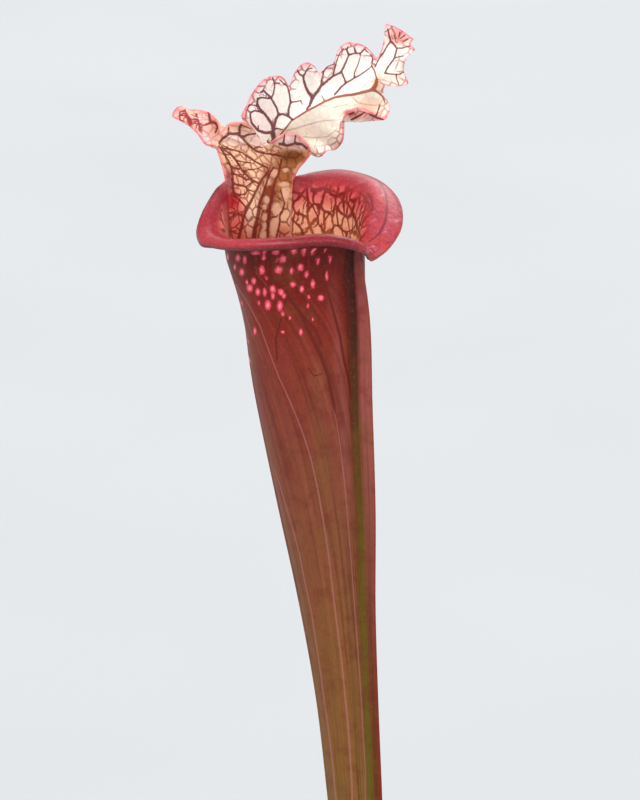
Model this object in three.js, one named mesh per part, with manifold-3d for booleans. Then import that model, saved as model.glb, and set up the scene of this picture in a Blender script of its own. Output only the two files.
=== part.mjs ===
// A potted pitcher plant: one tall ruffled pitcher leaf rising from a rhizome in a plain nursery pot.
// Millimetres, +Z up, origin at the middle of the flat underside of the pot.
import * as THREE from 'three';
import { mergeVertices } from 'three/addons/utils/BufferGeometryUtils.js';
import Module from 'manifold-3d';

// Pot and growing medium.
const POT_HEIGHT = 120;
const POT_FOOT_RADIUS = 52;
const POT_TOP_RADIUS = 69;
const POT_WALL = 2.4;
const POT_FLOOR = 3;
const RIM_HEIGHT = 14;
const RIM_PROUD = 3;
const DRAIN_COUNT = 6;
const DRAIN_RADIUS = 4;
const DRAIN_CIRCLE = 32;
const FIT_GAP = 0.3;
const MEDIUM_HEIGHT = 104;
const MEDIUM_RISE = 2.2;
const MEDIUM_LUMPS = 0.7;
const MEDIUM_RINGS = 9;
const POT_SIDES = 48;

// Rhizome, lying half buried at the middle of the pot, with the stubs of old leaves: place across and
// back, lean across and back, radius at the foot, height above the middle of the rhizome.
const RHIZOME = { z: 104, long: 21, wide: 11.5, high: 8.5, sides: 20 };
const OLD_LEAF_STUBS = [
  [-16, 1.5, -0.5, 0.1, 2.4, 13], [-12.5, -4, -0.3, -0.35, 2.2, 11], [-11, 4.5, -0.2, 0.4, 2.6, 16],
  [14.5, 1, 0.55, 0.1, 2.3, 12], [-4.5, -5.5, -0.1, -0.5, 2.1, 12], [14, -4.5, 0.5, -0.3, 2, 10],
];
// Young leaves beside the tall one, all standing in the rhizome: place across and back, height above
// the middle of the rhizome, lean and bend outwards, and heading, in degrees.
const YOUNG_PITCHER = { across: -4.5, back: 2.5, height: 118, lean: 10, bend: 9, heading: 118 };
const SWORD_LEAVES = [
  { across: -8.5, back: -1.5, height: 128, lean: 16, bend: 34, heading: 205 },
  { across: 12.5, back: 4, height: 96, lean: 15, bend: 26, heading: 40 },
];
const LEAF_FOOT_RADIUS = 2.4;
// Half width and half thickness by share of a young leaf's length, from its round foot up: the young
// pitcher swells and closes in a beak, a sword leaf flattens into a narrow blade.
const BEAK_SECTION = [
  [0, 2.4, 2.4], [0.08, 2.4, 2.4], [0.35, 3, 3], [0.7, 5, 4.6], [0.82, 5.4, 4.2], [0.92, 4, 2.2],
  [1, 0.9, 0.8],
];
const BLADE_SECTION = [
  [0, 2.4, 2.4], [0.06, 2.4, 2.4], [0.3, 3.6, 1.1], [0.5, 5, 0.7], [0.85, 3, 0.5], [1, 0.5, 0.4],
];
const BEAK_SIDES = 12;
const BLADE_SIDES = 8;
const YOUNG_LEAF_ROWS = 18;

// Holes that the leaves stand in.
const TALL_LEAF_WAY = new THREE.Vector3(-0.11, 0.085, 1);
const SOCKET_REACH = 30;

// Pitcher leaf: the middle of its mouth, and the way its wing and lip spout face, from the viewer's axis.
const MOUTH = new THREE.Vector3(-27, 20, 478);
const FRONT_TURN = THREE.MathUtils.degToRad(55);
const TUBE_WALL = 1.2;
const HOOD_THICKNESS = 0.7;
const NECK_HEIGHT = -17;
const POLE_DEPTH = 1.5;
const WING_END = [[0, 3.8], [0.2, 3.4], [0.38, 2.2], [0.5, 0], [1, 0]];
const WING_BASE = 1.7;
const WING_EDGE = 0.5;
const PIT_DEPTH = 4.5;

// Columns of points round the lip on each side of the wing, and the wing's own by angle at the mouth.
const RIGHT_COLUMNS = 23;
const LEFT_COLUMNS = 25;
const WING_CLEAR = 8;
const WING_COLUMNS = [
  { top: -4.4, wing: -1, edge: false }, { top: -1.5, wing: -1, edge: true },
  { top: 1.5, wing: 1, edge: true }, { top: 4.4, wing: 1, edge: false },
];
const BEHIND_WING = 3.6;
const BEHIND_WING_EDGE = 1.2;

// Ribs stand on the columns nearest to these angles at the mouth, and fade out at the neck.
const RIBS = [-88, 88, 137, 170, 188.5, 206, 217];
const RIB_HEIGHT = 0.6;
const RIB_REACH = 2.5;
const RIB_FADE = [22, 55];

// Tube by height below the mouth: height, middle across, middle back, radius, width of the wing.
const TUBE = [
  [-375, 32.2, -22.0, 6.2, 0.2], [-368, 31.4, -21.4, 5.5, 0.3], [-355, 29.8, -20.2, 4.8, 0.7],
  [-320, 26.0, -17.5, 5.2, 1.6],
  [-270, 22.3, -15.0, 6.0, 2.8], [-198, 17.8, -12.0, 7.8, 3.9], [-164, 15.4, -10.3, 9.2, 3.7],
  [-131, 12.0, -8.1, 11.5, 4.3], [-98, 8.3, -5.5, 14.7, 5.5], [-64, 4.3, -3.0, 17.5, 6.3],
  [-27, 0.9, -0.6, 20.9, 5.1], [-17, -0.7, 0.0, 22.4, 3.8],
];
const TUBE_ROWS = [-375, -368, -350, -310, -265, -230, -198, -170, -145, -122, -98, -78, -60, -44, -30, -22];
const HOLLOW_ROWS = [-300, -270, -215, -160, -122, -90, -60, -35];

// The long veins run straight near the root and spread from the wing towards the mouth, by height.
const VEIN_SPREAD = [[-131, 0], [-98, 0.06], [-78, 0.12], [-62, 0.2], [-44, 0.42], [-27, 0.72], [-17, 1]];
const SPREAD_POWER = 3.3;

// The lip runs round from the right edge of the column, by the spout at 0 degrees, to its left edge.
// Each row: angle, then radius and height of the throat edge, crest, outermost line and tucked edge.
const COLUMN_LEFT = 147;
const COLUMN_RIGHT = -130;
const LIP = [
  [-130, 20.6, -2, 20.4, 1, 20.2, 3, 19.8, 4], [-123, 21.4, -0.8, 22.4, 2, 23.6, 3.6, 24.4, 4],
  [-115, 22.2, 0, 25.6, 3.4, 28, 4, 29, 3], [-105, 22.5, 0.5, 28.4, 4.6, 32, 3.6, 31.8, 1.2],
  [-80, 22.4, 0.8, 28.8, 5.2, 33.6, 3.4, 32.8, 0.6],
  [-58, 22.2, 0, 28.8, 4.2, 33.8, 1.6, 33, -1.2], [-38, 22.2, -2, 29, 1.2, 34, -1.6, 33, -4.2],
  [-20, 22.8, -6, 29, -3.8, 33.8, -6, 32.6, -8.4], [-7, 23.2, -9.5, 28.8, -8.6, 32, -10, 30.8, -11.6],
  [0, 23.2, -10.2, 28.4, -10.2, 29.8, -11.8, 29, -13], [7, 23.2, -9, 28.6, -7.2, 30.6, -8.8, 30, -10.2],
  [20, 23.4, -6.6, 29.2, -4, 31.2, -5.4, 30.4, -7], [37, 23.6, -4.8, 29, -1.7, 31.2, -3, 30.4, -4.6],
  [60, 24, -5, 28.8, -2.4, 31, -3.8, 30.2, -5.4], [85, 24.2, -6.5, 28.8, -4, 30.8, -5.4, 30, -6.8],
  [110, 24.6, -7.5, 29.6, -5.6, 32, -7, 31.2, -8.4], [125, 24.8, -6.5, 29.8, -4.6, 32.6, -6.6, 32.6, -8.6],
  [133, 24.6, -4.6, 28.6, -2.2, 31.4, -3.2, 32.2, -5], [140, 24.3, -2.2, 26.4, 1, 28, 2, 29, 1.6],
  [147, 24, 0, 24, 4, 23.8, 7, 23.4, 9],
];
const LIP_STEPS = [0, 0.2, 0.38, 0.5, 0.62, 0.74, 0.84, 0.93, 1];
const LIP_STATIONS = [0, 0.38, 0.62, 0.84, 1];
const COLUMN_RISE = [[0, 0], [0.38, 0.68], [0.62, 0.83], [0.84, 0.935], [1, 1]];

// Column and hood, in a frame that leans back a little: place along the leaf, across, up, back.
const HOOD_LEAN = THREE.MathUtils.degToRad(15);
const LEFT_EDGE = [
  [0, -23, 9, -1], [0.04, -24, 13, -1.5], [0.08, -25, 16.5, -2.5], [0.11, -26.5, 20, -4.5],
  [0.135, -29.5, 20.5, -7], [0.16, -32, 24, -8], [0.18, -36, 27.5, -7.5], [0.2, -40, 29.5, -6],
  [0.222, -37.5, 32.8, -4], [0.235, -35.2, 31.6, -3], [0.25, -32, 31.5, -2], [0.265, -28.5, 30.5, -1],
  [0.28, -25.5, 27.5, 0], [0.295, -25.5, 24, -1], [0.31, -24.5, 24.5, -1], [0.33, -22, 27, -0.5],
  [0.35, -18.5, 27.5, 0.5], [0.37, -16, 27, 3.5], [0.39, -13.5, 24.5, 8], [0.41, -16, 26.5, 9],
  [0.43, -18, 29, 6], [0.46, -16.5, 32.5, 3], [0.49, -15, 36, 2], [0.52, -11.5, 40.5, 1],
  [0.55, -7.5, 42.5, 1], [0.575, -4.5, 42, 5], [0.6, -2.5, 39.5, 8.5], [0.615, -1.5, 42.5, 6],
  [0.635, 0.5, 45.5, 1], [0.66, 3.5, 46.5, -1], [0.68, 5.5, 45.5, 3], [0.7, 7, 43.5, 5.5],
  [0.72, 9.5, 45.5, 2], [0.74, 11.5, 46.5, -1], [0.765, 13, 50.5, -5], [0.785, 15, 52.5, -7],
  [0.82, 18.5, 52.5, -8], [0.86, 22.5, 51, -8], [0.89, 25.5, 48, -7], [0.915, 27, 50.5, -9],
  [0.94, 28, 55, -12], [0.965, 28, 58, -13], [1, 30.5, 58, -12],
];
const RIGHT_EDGE = [
  [0, -1.5, 9, 18], [0.05, 0, 12.5, 17], [0.11, 2.5, 15.5, 15.5], [0.19, 4, 19, 14], [0.23, 2, 22, 11],
  [0.28, -0.5, 23.5, 9], [0.32, -4, 24, 8.5], [0.36, -6.5, 22.5, 9], [0.39, -9, 20.5, 13.8],
  [0.41, -7.4, 20, 16.6], [0.44, -2.5, 20, 18.5], [0.47, 2, 18.5, 19.5], [0.5, 7, 16.5, 18.5],
  [0.53, 9.5, 18.5, 17], [0.56, 12.5, 19, 15], [0.59, 14.5, 21.5, 10.5], [0.62, 14.8, 25, 4.5],
  [0.65, 15, 29, 0.5], [0.68, 17.5, 31.5, -2], [0.71, 20.5, 32, -3.5], [0.75, 23.5, 30.5, -3.5],
  [0.79, 26.5, 28.5, -1], [0.83, 29, 29.5, 3], [0.86, 29.5, 33, 4], [0.885, 27.5, 37, 1],
  [0.9, 28, 38.8, -2], [0.92, 33, 39, -3.4], [0.935, 35.5, 40, -4], [0.95, 34, 44, -6],
  [0.965, 35, 48, -8], [0.977, 37.5, 50.5, -8], [0.987, 36, 52, -9], [1, 37, 54, -9],
];
const MIDRIB = [
  [0, -12, 7, 18], [0.08, -9.5, 12, 18.5], [0.16, -8, 15.5, 18], [0.25, -8.5, 17, 17],
  [0.33, -10, 18.5, 16.2], [0.37, -10.5, 19.5, 15.9], [0.4, -10.8, 21, 15.5], [0.46, -8.6, 24.2, 15],
  [0.52, -4, 26.5, 13], [0.58, 0.5, 30, 11], [0.66, 7, 33.5, 7], [0.74, 13.5, 36, 3],
  [0.82, 19.5, 37, -1], [0.88, 24, 38.5, -4], [0.92, 25.5, 43, -6], [0.96, 28.5, 48.5, -8],
  [1, 33.5, 56.5, -10],
];
// The margins without their ruffles, which the inner part of the blade follows.
const LEFT_CALM = [
  [0, -23, 9, -1], [0.1, -25.5, 18.5, -2], [0.2, -26.5, 24, -3], [0.3, -23, 25, -0.5],
  [0.4, -14.5, 25, 7.5], [0.46, -15, 31, 4], [0.55, -8.5, 39.5, 2], [0.66, 4, 44, 1],
  [0.78, 14.5, 49, -5], [0.89, 24.5, 48, -8], [1, 30.5, 58, -12],
];
const RIGHT_CALM = [
  [0, -1.5, 9, 18], [0.1, 2, 15, 16], [0.2, 2, 20, 13], [0.3, -2.5, 22.5, 9.5], [0.36, -6, 22.5, 10],
  [0.39, -8.6, 20.8, 13.8], [0.44, -3, 20, 18], [0.52, 8, 19, 18], [0.6, 13.5, 21.5, 12],
  [0.65, 17.5, 21, 8], [0.7, 20.8, 18.5, 6], [0.75, 23.5, 18.5, 4.5], [0.8, 26.5, 24, 4.5],
  [0.85, 28.5, 30.5, 4], [0.89, 28.5, 37, 0], [0.95, 33.5, 43.5, -6], [1, 37, 54, -9],
];
// How far each half of the blade bellies out between midrib and margin: place, across, up, back.
const LEFT_BELLY = [[0, -3.2, 0, 1.5], [0.2, -2, -0.5, 2], [0.4, 0, 0, 1], [0.5, 0, -1, 2.5], [1, 0, 0, 0]];
const RIGHT_BELLY = [
  [0, 1, 0, 2.2], [0.2, 1, -1, 3], [0.32, 0.5, -0.5, 0.5], [0.4, 0, 0, 0], [0.5, 0, 0, 2.5],
  [0.62, 0, 0, 1], [1, 0, 0, 0],
];
const BLADE_HALF = 9;
const RUFFLE_POWER = 3;
// Small ripples of the margin, in and out along its length beyond the column.
const RIPPLE_DEPTH = 1.6;
const RIPPLES = 13;
const RIPPLE_START = [0.12, 0.3];
const PLACE_SPACING = 0.009;
const EVENING_ROUNDS = 6;

// A smooth curve through rows of [place, values...]: a cubic with slopes taken from both neighbours.
function along(rows, place) {
  const last = rows.length - 1;
  const at = Math.min(Math.max(place, rows[0][0]), rows[last][0]);
  let i = 0;
  while (i < last - 1 && at > rows[i + 1][0]) i += 1;
  const slope = (k, c) => {
    const low = Math.max(k - 1, 0);
    const high = Math.min(k + 1, last);
    const before = k > 0 ? (rows[k][c] - rows[low][c]) / (rows[k][0] - rows[low][0]) : 0;
    const after = k < last ? (rows[high][c] - rows[k][c]) / (rows[high][0] - rows[k][0]) : 0;
    if (k === 0) return after;
    if (k === last) return before;
    const back = rows[k][0] - rows[low][0];
    const ahead = rows[high][0] - rows[k][0];
    return (ahead * before + back * after) / (ahead + back);
  };
  const span = rows[i + 1][0] - rows[i][0];
  const t = (at - rows[i][0]) / span;
  const values = [];
  for (let c = 1; c < rows[0].length; c += 1) {
    values.push((2 * t ** 3 - 3 * t ** 2 + 1) * rows[i][c] + (t ** 3 - 2 * t ** 2 + t) * span * slope(i, c)
      + (3 * t ** 2 - 2 * t ** 3) * rows[i + 1][c] + (t ** 3 - t ** 2) * span * slope(i + 1, c));
  }
  return values;
}

const forward = new THREE.Vector3(Math.sin(FRONT_TURN), -Math.cos(FRONT_TURN), 0);
const sideways = new THREE.Vector3(-Math.cos(FRONT_TURN), -Math.sin(FRONT_TURN), 0);

// The horizontal direction at an angle in degrees from the spout, growing towards the viewer's left.
function heading(degrees) {
  const angle = THREE.MathUtils.degToRad(degrees);
  return forward.clone().multiplyScalar(Math.cos(angle)).addScaledVector(sideways, Math.sin(angle));
}

// The columns of the leaf, once round: the lip's, with the wing in the middle, then the hood's.
function leafColumns() {
  const columns = [];
  for (let i = 0; i <= RIGHT_COLUMNS; i += 1) {
    columns.push({ top: COLUMN_RIGHT + (-WING_CLEAR - COLUMN_RIGHT) * (i / RIGHT_COLUMNS) });
  }
  columns.push(...WING_COLUMNS);
  for (let i = 0; i <= LEFT_COLUMNS; i += 1) {
    columns.push({ top: WING_CLEAR + (COLUMN_LEFT - WING_CLEAR) * (i / LEFT_COLUMNS) });
  }
  const lipCount = columns.length;
  for (let i = 1; i < 2 * BLADE_HALF; i += 1) {
    const share = i / (2 * BLADE_HALF);
    columns.push({ top: COLUMN_LEFT + (360 + COLUMN_RIGHT - COLUMN_LEFT) * share, share });
  }
  return { columns, lipCount };
}

// The angle near the root of a vein that reaches the mouth at the angle top.
function rootAngle(top) {
  return Math.sign(top) * 180 * (1 - (1 - Math.abs(top) / 180) ** (1 / SPREAD_POWER));
}

// Where a column of the tube lies at a height, as an angle, with the wing's foot kept clear.
function columnAngle(column, height, radius) {
  const foot = THREE.MathUtils.radToDeg(Math.asin(wingFoot(radius) / radius));
  const spread = along(VEIN_SPREAD, Math.max(height, VEIN_SPREAD[0][0]))[0];
  const squeeze = 1 - foot / 180;
  const leftRoot = rootAngle(COLUMN_LEFT);
  const root = column.share === undefined ? rootAngle(column.top)
    : leftRoot + (360 + rootAngle(COLUMN_RIGHT) - leftRoot) * column.share;
  const plain = root + (column.top - root) * spread;
  const past = plain > 180 ? plain - 360 : plain;
  return Math.sign(past) * (foot + Math.abs(past) * squeeze);
}

function wingFoot(radius) {
  return Math.min(WING_BASE, 0.24 * radius);
}

function ribRise(column, height) {
  const near = Math.min(...RIBS.map((rib) => Math.abs(rib - column.top)));
  return near < RIB_REACH ? RIB_HEIGHT * THREE.MathUtils.smoothstep(-height, ...RIB_FADE) : 0;
}

// A point on the outside of the tube; the wing is a thin fin along the front.
function tubeOutside(column, height) {
  const [across, back, radius, wing] = along(TUBE, height);
  const point = new THREE.Vector3(across, back, height);
  if (column.wing) {
    const foot = column.edge ? Math.min(WING_EDGE, wingFoot(radius)) : wingFoot(radius);
    const reach = column.edge ? radius + wing : Math.sqrt(radius ** 2 - foot ** 2);
    return point.addScaledVector(forward, reach).addScaledVector(sideways, foot * column.wing);
  }
  const rise = ribRise(column, height);
  return point.addScaledVector(heading(columnAngle(column, height, radius)), radius + rise);
}

function tubeInside(column, height) {
  const [across, back, radius] = along(TUBE, height);
  const behind = column.edge ? BEHIND_WING_EDGE : BEHIND_WING;
  const angle = column.wing ? column.wing * behind : columnAngle(column, height, radius);
  return new THREE.Vector3(across, back, height).addScaledVector(heading(angle), radius - TUBE_WALL);
}

// The middle surface of the hood: place along it from 0 at the column to 1 at the tip, and side from
// -1 at the left margin to 1 at the right one. Ruffles die away towards the midrib.
function hoodPoint(place, side) {
  const reach = Math.abs(side);
  const mid = along(MIDRIB, place);
  const calm = along(side < 0 ? LEFT_CALM : RIGHT_CALM, place);
  const edge = along(side < 0 ? LEFT_EDGE : RIGHT_EDGE, place);
  const belly = along(side < 0 ? LEFT_BELLY : RIGHT_BELLY, place);
  const ripple = RIPPLE_DEPTH * THREE.MathUtils.smoothstep(place, ...RIPPLE_START);
  edge[2] += ripple * Math.sin(2 * Math.PI * RIPPLES * place);
  const leaned = mid.map((m, k) => m + (calm[k] - m) * reach + belly[k] * 4 * reach * (1 - reach)
    + (edge[k] - calm[k]) * reach ** RUFFLE_POWER);
  return leanBack(leaned);
}

function leanBack([across, up, back]) {
  return new THREE.Vector3(
    across,
    back * Math.cos(HOOD_LEAN) + up * Math.sin(HOOD_LEAN),
    up * Math.cos(HOOD_LEAN) - back * Math.sin(HOOD_LEAN),
  );
}

// The middle surface of the lip, from the neck at step 0 to the tucked edge at step 1.
function lipPoint(column, step) {
  const row = along(LIP, column.top);
  const [across, back, radius] = along(TUBE, NECK_HEIGHT);
  const stations = [[LIP_STATIONS[0], radius - TUBE_WALL / 2, NECK_HEIGHT]];
  for (let k = 1; k < LIP_STATIONS.length; k += 1) {
    stations.push([LIP_STATIONS[k], row[2 * k - 2], row[2 * k - 1]]);
  }
  const [reach, height] = along(stations, step);
  return new THREE.Vector3(across, back, height).addScaledVector(heading(column.top), reach);
}

// Between lip and hood the column rises from the neck to the foot of the hood.
function columnPoint(column, step, side) {
  const [across, back, radius] = along(TUBE, NECK_HEIGHT);
  const foot = new THREE.Vector3(across, back, NECK_HEIGHT);
  foot.addScaledVector(heading(column.top), radius - TUBE_WALL / 2);
  return foot.lerp(hoodPoint(0, side), along(COLUMN_RISE, step)[0]);
}

// Places along the hood: every place that a margin turns at, without near doubles.
function hoodPlaces() {
  const all = [...LEFT_EDGE, ...RIGHT_EDGE].map((row) => row[0]).sort((a, b) => a - b);
  const places = [];
  all.forEach((place) => {
    const last = places.length > 0 ? places[places.length - 1] : 0;
    if (place > 0 && (last === 0 || place - last > PLACE_SPACING)) places.push(place);
  });
  places[places.length - 1] = 1;
  return places;
}

// The leaf as one closed solid. Rings of points go round it up to the lip's edge; from there the
// hood goes on in open rows. Both faces share the same split into triangles.
function pitcherGeometry() {
  const { columns, lipCount } = leafColumns();
  const count = columns.length;
  const sideOf = (j) => {
    if (j === 0) return 1;
    return -1 + (2 * (j - lipCount + 1)) / (2 * BLADE_HALF);
  };
  const ring = LIP_STEPS.map((step) => columns.map((column, j) => (
    j === 0 || j >= lipCount - 1 ? columnPoint(column, step, sideOf(j)) : lipPoint(column, step))));
  const arc = [];
  for (let j = lipCount - 1; j < count; j += 1) arc.push(j);
  arc.push(0);
  const rows = hoodPlaces().map((place) => arc.map((j) => hoodPoint(place, sideOf(j))));

  const middle = [...ring.flat(), ...rows.flat()];
  const ringIndex = (i, j) => i * count + ((j + count) % count);
  const topRing = LIP_STEPS.length - 1;
  const rowIndex = (i, k) => (i === 0 ? ringIndex(topRing, arc[k])
    : LIP_STEPS.length * count + (i - 1) * arc.length + k);
  const quads = [];
  for (let i = 0; i < topRing; i += 1) {
    for (let j = 0; j < count; j += 1) {
      quads.push([ringIndex(i, j), ringIndex(i, j + 1), ringIndex(i + 1, j + 1), ringIndex(i + 1, j)]);
    }
  }
  for (let i = 0; i < rows.length; i += 1) {
    for (let k = 0; k < arc.length - 1; k += 1) {
      quads.push([rowIndex(i, k), rowIndex(i, k + 1), rowIndex(i + 1, k + 1), rowIndex(i + 1, k)]);
    }
  }
  const inward = evened(middleNormals(middle, quads), quads);
  const half = middle.map((_, n) => (n < LIP_STEPS.length * count ? TUBE_WALL : HOOD_THICKNESS) / 2);
  const outer = middle.map((point, n) => point.clone().addScaledVector(inward[n], -half[n]));
  const inner = middle.map((point, n) => point.clone().addScaledVector(inward[n], half[n]));
  columns.forEach((column, j) => {
    outer[j] = tubeOutside(column, NECK_HEIGHT);
    inner[j] = tubeInside(column, NECK_HEIGHT);
    if (!column.edge) return;
    for (let i = 1; i < LIP_STEPS.length; i += 1) {
      outer[ringIndex(i, j)].addScaledVector(forward, along(WING_END, LIP_STEPS[i])[0]);
    }
  });
  return closeLeaf(columns, outer, inner, quads, { lipCount, rowIndex, ringIndex, arc, rows, topRing });
}

function middleNormals(points, quads) {
  const normals = points.map(() => new THREE.Vector3());
  const add = (a, b, c) => {
    const face = points[b].clone().sub(points[a]).cross(points[c].clone().sub(points[a]));
    [a, b, c].forEach((n) => normals[n].add(face));
  };
  quads.forEach(([a, b, c, d]) => {
    add(a, b, c);
    add(a, c, d);
  });
  return normals.map((normal) => normal.normalize());
}

// Normals averaged with their neighbours, so that the two faces keep apart in tight folds.
function evened(normals, quads) {
  const near = normals.map(() => new Set());
  quads.forEach((quad) => quad.forEach((n, k) => near[n].add(quad[(k + 1) % 4]).add(quad[(k + 3) % 4])));
  let even = normals;
  for (let round = 0; round < EVENING_ROUNDS; round += 1) {
    const last = even;
    even = last.map((normal, n) => {
      const sum = normal.clone();
      near[n].forEach((k) => sum.add(last[k]));
      return sum.normalize();
    });
  }
  return even;
}

// Joins the outer and inner faces round the margins, and goes on down with the tube and its hollow.
function closeLeaf(columns, outer, inner, quads, leaf) {
  const points = [...outer, ...inner];
  const shift = outer.length;
  const count = columns.length;
  const faces = [];
  const quad = (a, b, c, d) => faces.push(a, b, c, a, c, d);
  quads.forEach(([a, b, c, d]) => {
    faces.push(a, c, b, a, d, c);
    quad(a + shift, b + shift, c + shift, d + shift);
  });
  const margin = (from, to) => quad(from, to, to + shift, from + shift);
  for (let j = 0; j < leaf.lipCount - 1; j += 1) {
    margin(leaf.ringIndex(leaf.topRing, j + 1), leaf.ringIndex(leaf.topRing, j));
  }
  const right = leaf.arc.length - 1;
  for (let i = 0; i < leaf.rows.length; i += 1) {
    margin(leaf.rowIndex(i + 1, 0), leaf.rowIndex(i, 0));
    margin(leaf.rowIndex(i, right), leaf.rowIndex(i + 1, right));
  }
  for (let k = 0; k < right; k += 1) {
    margin(leaf.rowIndex(leaf.rows.length, k + 1), leaf.rowIndex(leaf.rows.length, k));
  }
  const addRings = (heights, pointAt, firstRing) => {
    let upper = firstRing;
    heights.forEach((height) => {
      const base = points.length;
      columns.forEach((column) => points.push(pointAt(column, height)));
      const lower = (j) => base + (j % count);
      const above = upper;
      for (let j = 0; j < count; j += 1) {
        if (pointAt === tubeOutside) quad(lower(j), above(j), above(j + 1), lower(j + 1));
        else quad(lower(j), lower(j + 1), above(j + 1), above(j));
      }
      upper = lower;
    });
    return upper;
  };
  const foot = addRings([...TUBE_ROWS].reverse(), tubeOutside, (j) => j % count);
  const pit = addRings([...HOLLOW_ROWS].reverse(), tubeInside, (j) => shift + (j % count));
  const pole = (height, upper, downward) => {
    const [across, back] = along(TUBE, height);
    const tip = points.push(new THREE.Vector3(across, back, height)) - 1;
    for (let j = 0; j < count; j += 1) {
      if (downward) faces.push(upper(j), upper(j + 1), tip);
      else faces.push(upper(j + 1), upper(j), tip);
    }
  };
  pole(TUBE_ROWS[0] - POLE_DEPTH, foot, true);
  pole(HOLLOW_ROWS[0] - PIT_DEPTH, pit, false);
  return meshOf(points, faces);
}

function meshOf(points, faces) {
  const geometry = new THREE.BufferGeometry();
  const places = points.flatMap((point) => [point.x, point.y, point.z]);
  geometry.setAttribute('position', new THREE.Float32BufferAttribute(places, 3));
  geometry.setIndex(faces);
  return geometry;
}

const wasm = await Module();
wasm.setup();

// A closed three.js geometry as a solid that can be joined and cut, and back again.
function solid(geometry) {
  const bare = geometry.clone();
  bare.deleteAttribute('normal');
  bare.deleteAttribute('uv');
  const merged = mergeVertices(bare, 1e-4);
  const vertProperties = merged.attributes.position.array;
  const triVerts = new Uint32Array(merged.index.array);
  return new wasm.Manifold(new wasm.Mesh({ numProp: 3, vertProperties, triVerts }));
}

function geometryOf(body) {
  const mesh = body.getMesh();
  const geometry = new THREE.BufferGeometry();
  geometry.setAttribute('position', new THREE.BufferAttribute(new Float32Array(mesh.vertProperties), 3));
  geometry.setIndex(new THREE.BufferAttribute(new Uint32Array(mesh.triVerts), 1));
  return geometry;
}

// A profile of [radius, height] points, from the axis round to the axis, turned about Z.
function revolved(profile, sides) {
  const points = profile.map(([radius, height]) => new THREE.Vector2(radius, height));
  return new THREE.LatheGeometry(points, sides).rotateX(Math.PI / 2);
}

function potRadius(height) {
  return POT_FOOT_RADIUS + (POT_TOP_RADIUS - POT_FOOT_RADIUS) * (height / POT_HEIGHT);
}

function potGeometry() {
  const under = POT_HEIGHT - RIM_HEIGHT;
  const rim = potRadius(POT_HEIGHT) + RIM_PROUD;
  const profile = [
    [0, 0], [POT_FOOT_RADIUS - 2, 0], [POT_FOOT_RADIUS - 0.4, 0.8], [potRadius(5), 5],
    [potRadius(under), under], [rim - 1, under], [rim, under + 1], [rim, POT_HEIGHT - 1.5],
    [rim - 1.2, POT_HEIGHT], [rim - RIM_PROUD - 0.6, POT_HEIGHT],
    [potRadius(POT_HEIGHT) - POT_WALL, POT_HEIGHT - 2],
    [potRadius(POT_FLOOR) - POT_WALL, POT_FLOOR], [0, POT_FLOOR],
  ];
  let pot = solid(revolved(profile, POT_SIDES));
  for (let i = 0; i < DRAIN_COUNT; i += 1) {
    const angle = (i / DRAIN_COUNT) * 2 * Math.PI;
    const hole = new THREE.CylinderGeometry(DRAIN_RADIUS, DRAIN_RADIUS, 4 * POT_FLOOR, 12);
    hole.rotateX(Math.PI / 2).translate(DRAIN_CIRCLE * Math.cos(angle), DRAIN_CIRCLE * Math.sin(angle), 0);
    pot = pot.subtract(solid(hole));
  }
  return geometryOf(pot);
}

// The top of the medium: a low ring-shaped rise round the rhizome, with a few soft lumps.
function mediumTop(x, y) {
  const share = Math.hypot(x, y) / potRadius(MEDIUM_HEIGHT);
  const rise = MEDIUM_RISE * Math.sin(Math.PI * share);
  const lumps = Math.sin(0.21 * x + 0.6) * Math.cos(0.17 * y) + 0.6 * Math.sin(0.31 * y - 0.23 * x);
  return MEDIUM_HEIGHT + rise + MEDIUM_LUMPS * lumps * share * (1 - share) * 4;
}

function mediumGeometry() {
  const foot = POT_FLOOR + FIT_GAP;
  const inside = (height) => potRadius(height) - POT_WALL - 2 * FIT_GAP;
  const profile = [[0, foot], [inside(foot), foot]];
  for (let i = 0; i <= MEDIUM_RINGS; i += 1) {
    profile.push([inside(MEDIUM_HEIGHT) * (1 - i / MEDIUM_RINGS), MEDIUM_HEIGHT]);
  }
  const body = revolved(profile, POT_SIDES);
  const place = body.attributes.position;
  for (let n = 0; n < place.count; n += 1) {
    if (place.getZ(n) > MEDIUM_HEIGHT - 1) place.setZ(n, mediumTop(place.getX(n), place.getY(n)));
  }
  const pocket = solid(rhizomeBody(FIT_GAP));
  return geometryOf(solid(body).subtract(pocket));
}

function rhizomeBody(grow) {
  const ball = new THREE.SphereGeometry(1, RHIZOME.sides, RHIZOME.sides / 2).rotateX(Math.PI / 2);
  ball.scale(RHIZOME.long + grow, RHIZOME.wide + grow, RHIZOME.high + grow);
  return ball.translate(0, 0, RHIZOME.z);
}

// A round peg from a point along a direction, for stubs and for the holes that leaves stand in.
function peg(from, direction, footRadius, topRadius, length, sides) {
  const shape = new THREE.CylinderGeometry(topRadius, footRadius, length, sides).translate(0, length / 2, 0);
  const upwards = new THREE.Vector3(0, 1, 0);
  const turn = new THREE.Quaternion().setFromUnitVectors(upwards, direction.clone().normalize());
  return shape.applyQuaternion(turn).translate(from.x, from.y, from.z);
}

function rhizomeGeometry() {
  let body = solid(rhizomeBody(0));
  OLD_LEAF_STUBS.forEach(([across, back, leanAcross, leanBackwards, radius, height]) => {
    const way = new THREE.Vector3(leanAcross, leanBackwards, 1);
    const stub = peg(new THREE.Vector3(across, back, RHIZOME.z), way, radius * 1.25, radius, height, 8);
    body = body.add(solid(stub));
  });
  [tallLeafSocket(), ...[YOUNG_PITCHER, ...SWORD_LEAVES].map(youngLeafSocket)].forEach((socket) => {
    body = body.subtract(solid(socket));
  });
  return geometryOf(body);
}

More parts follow.
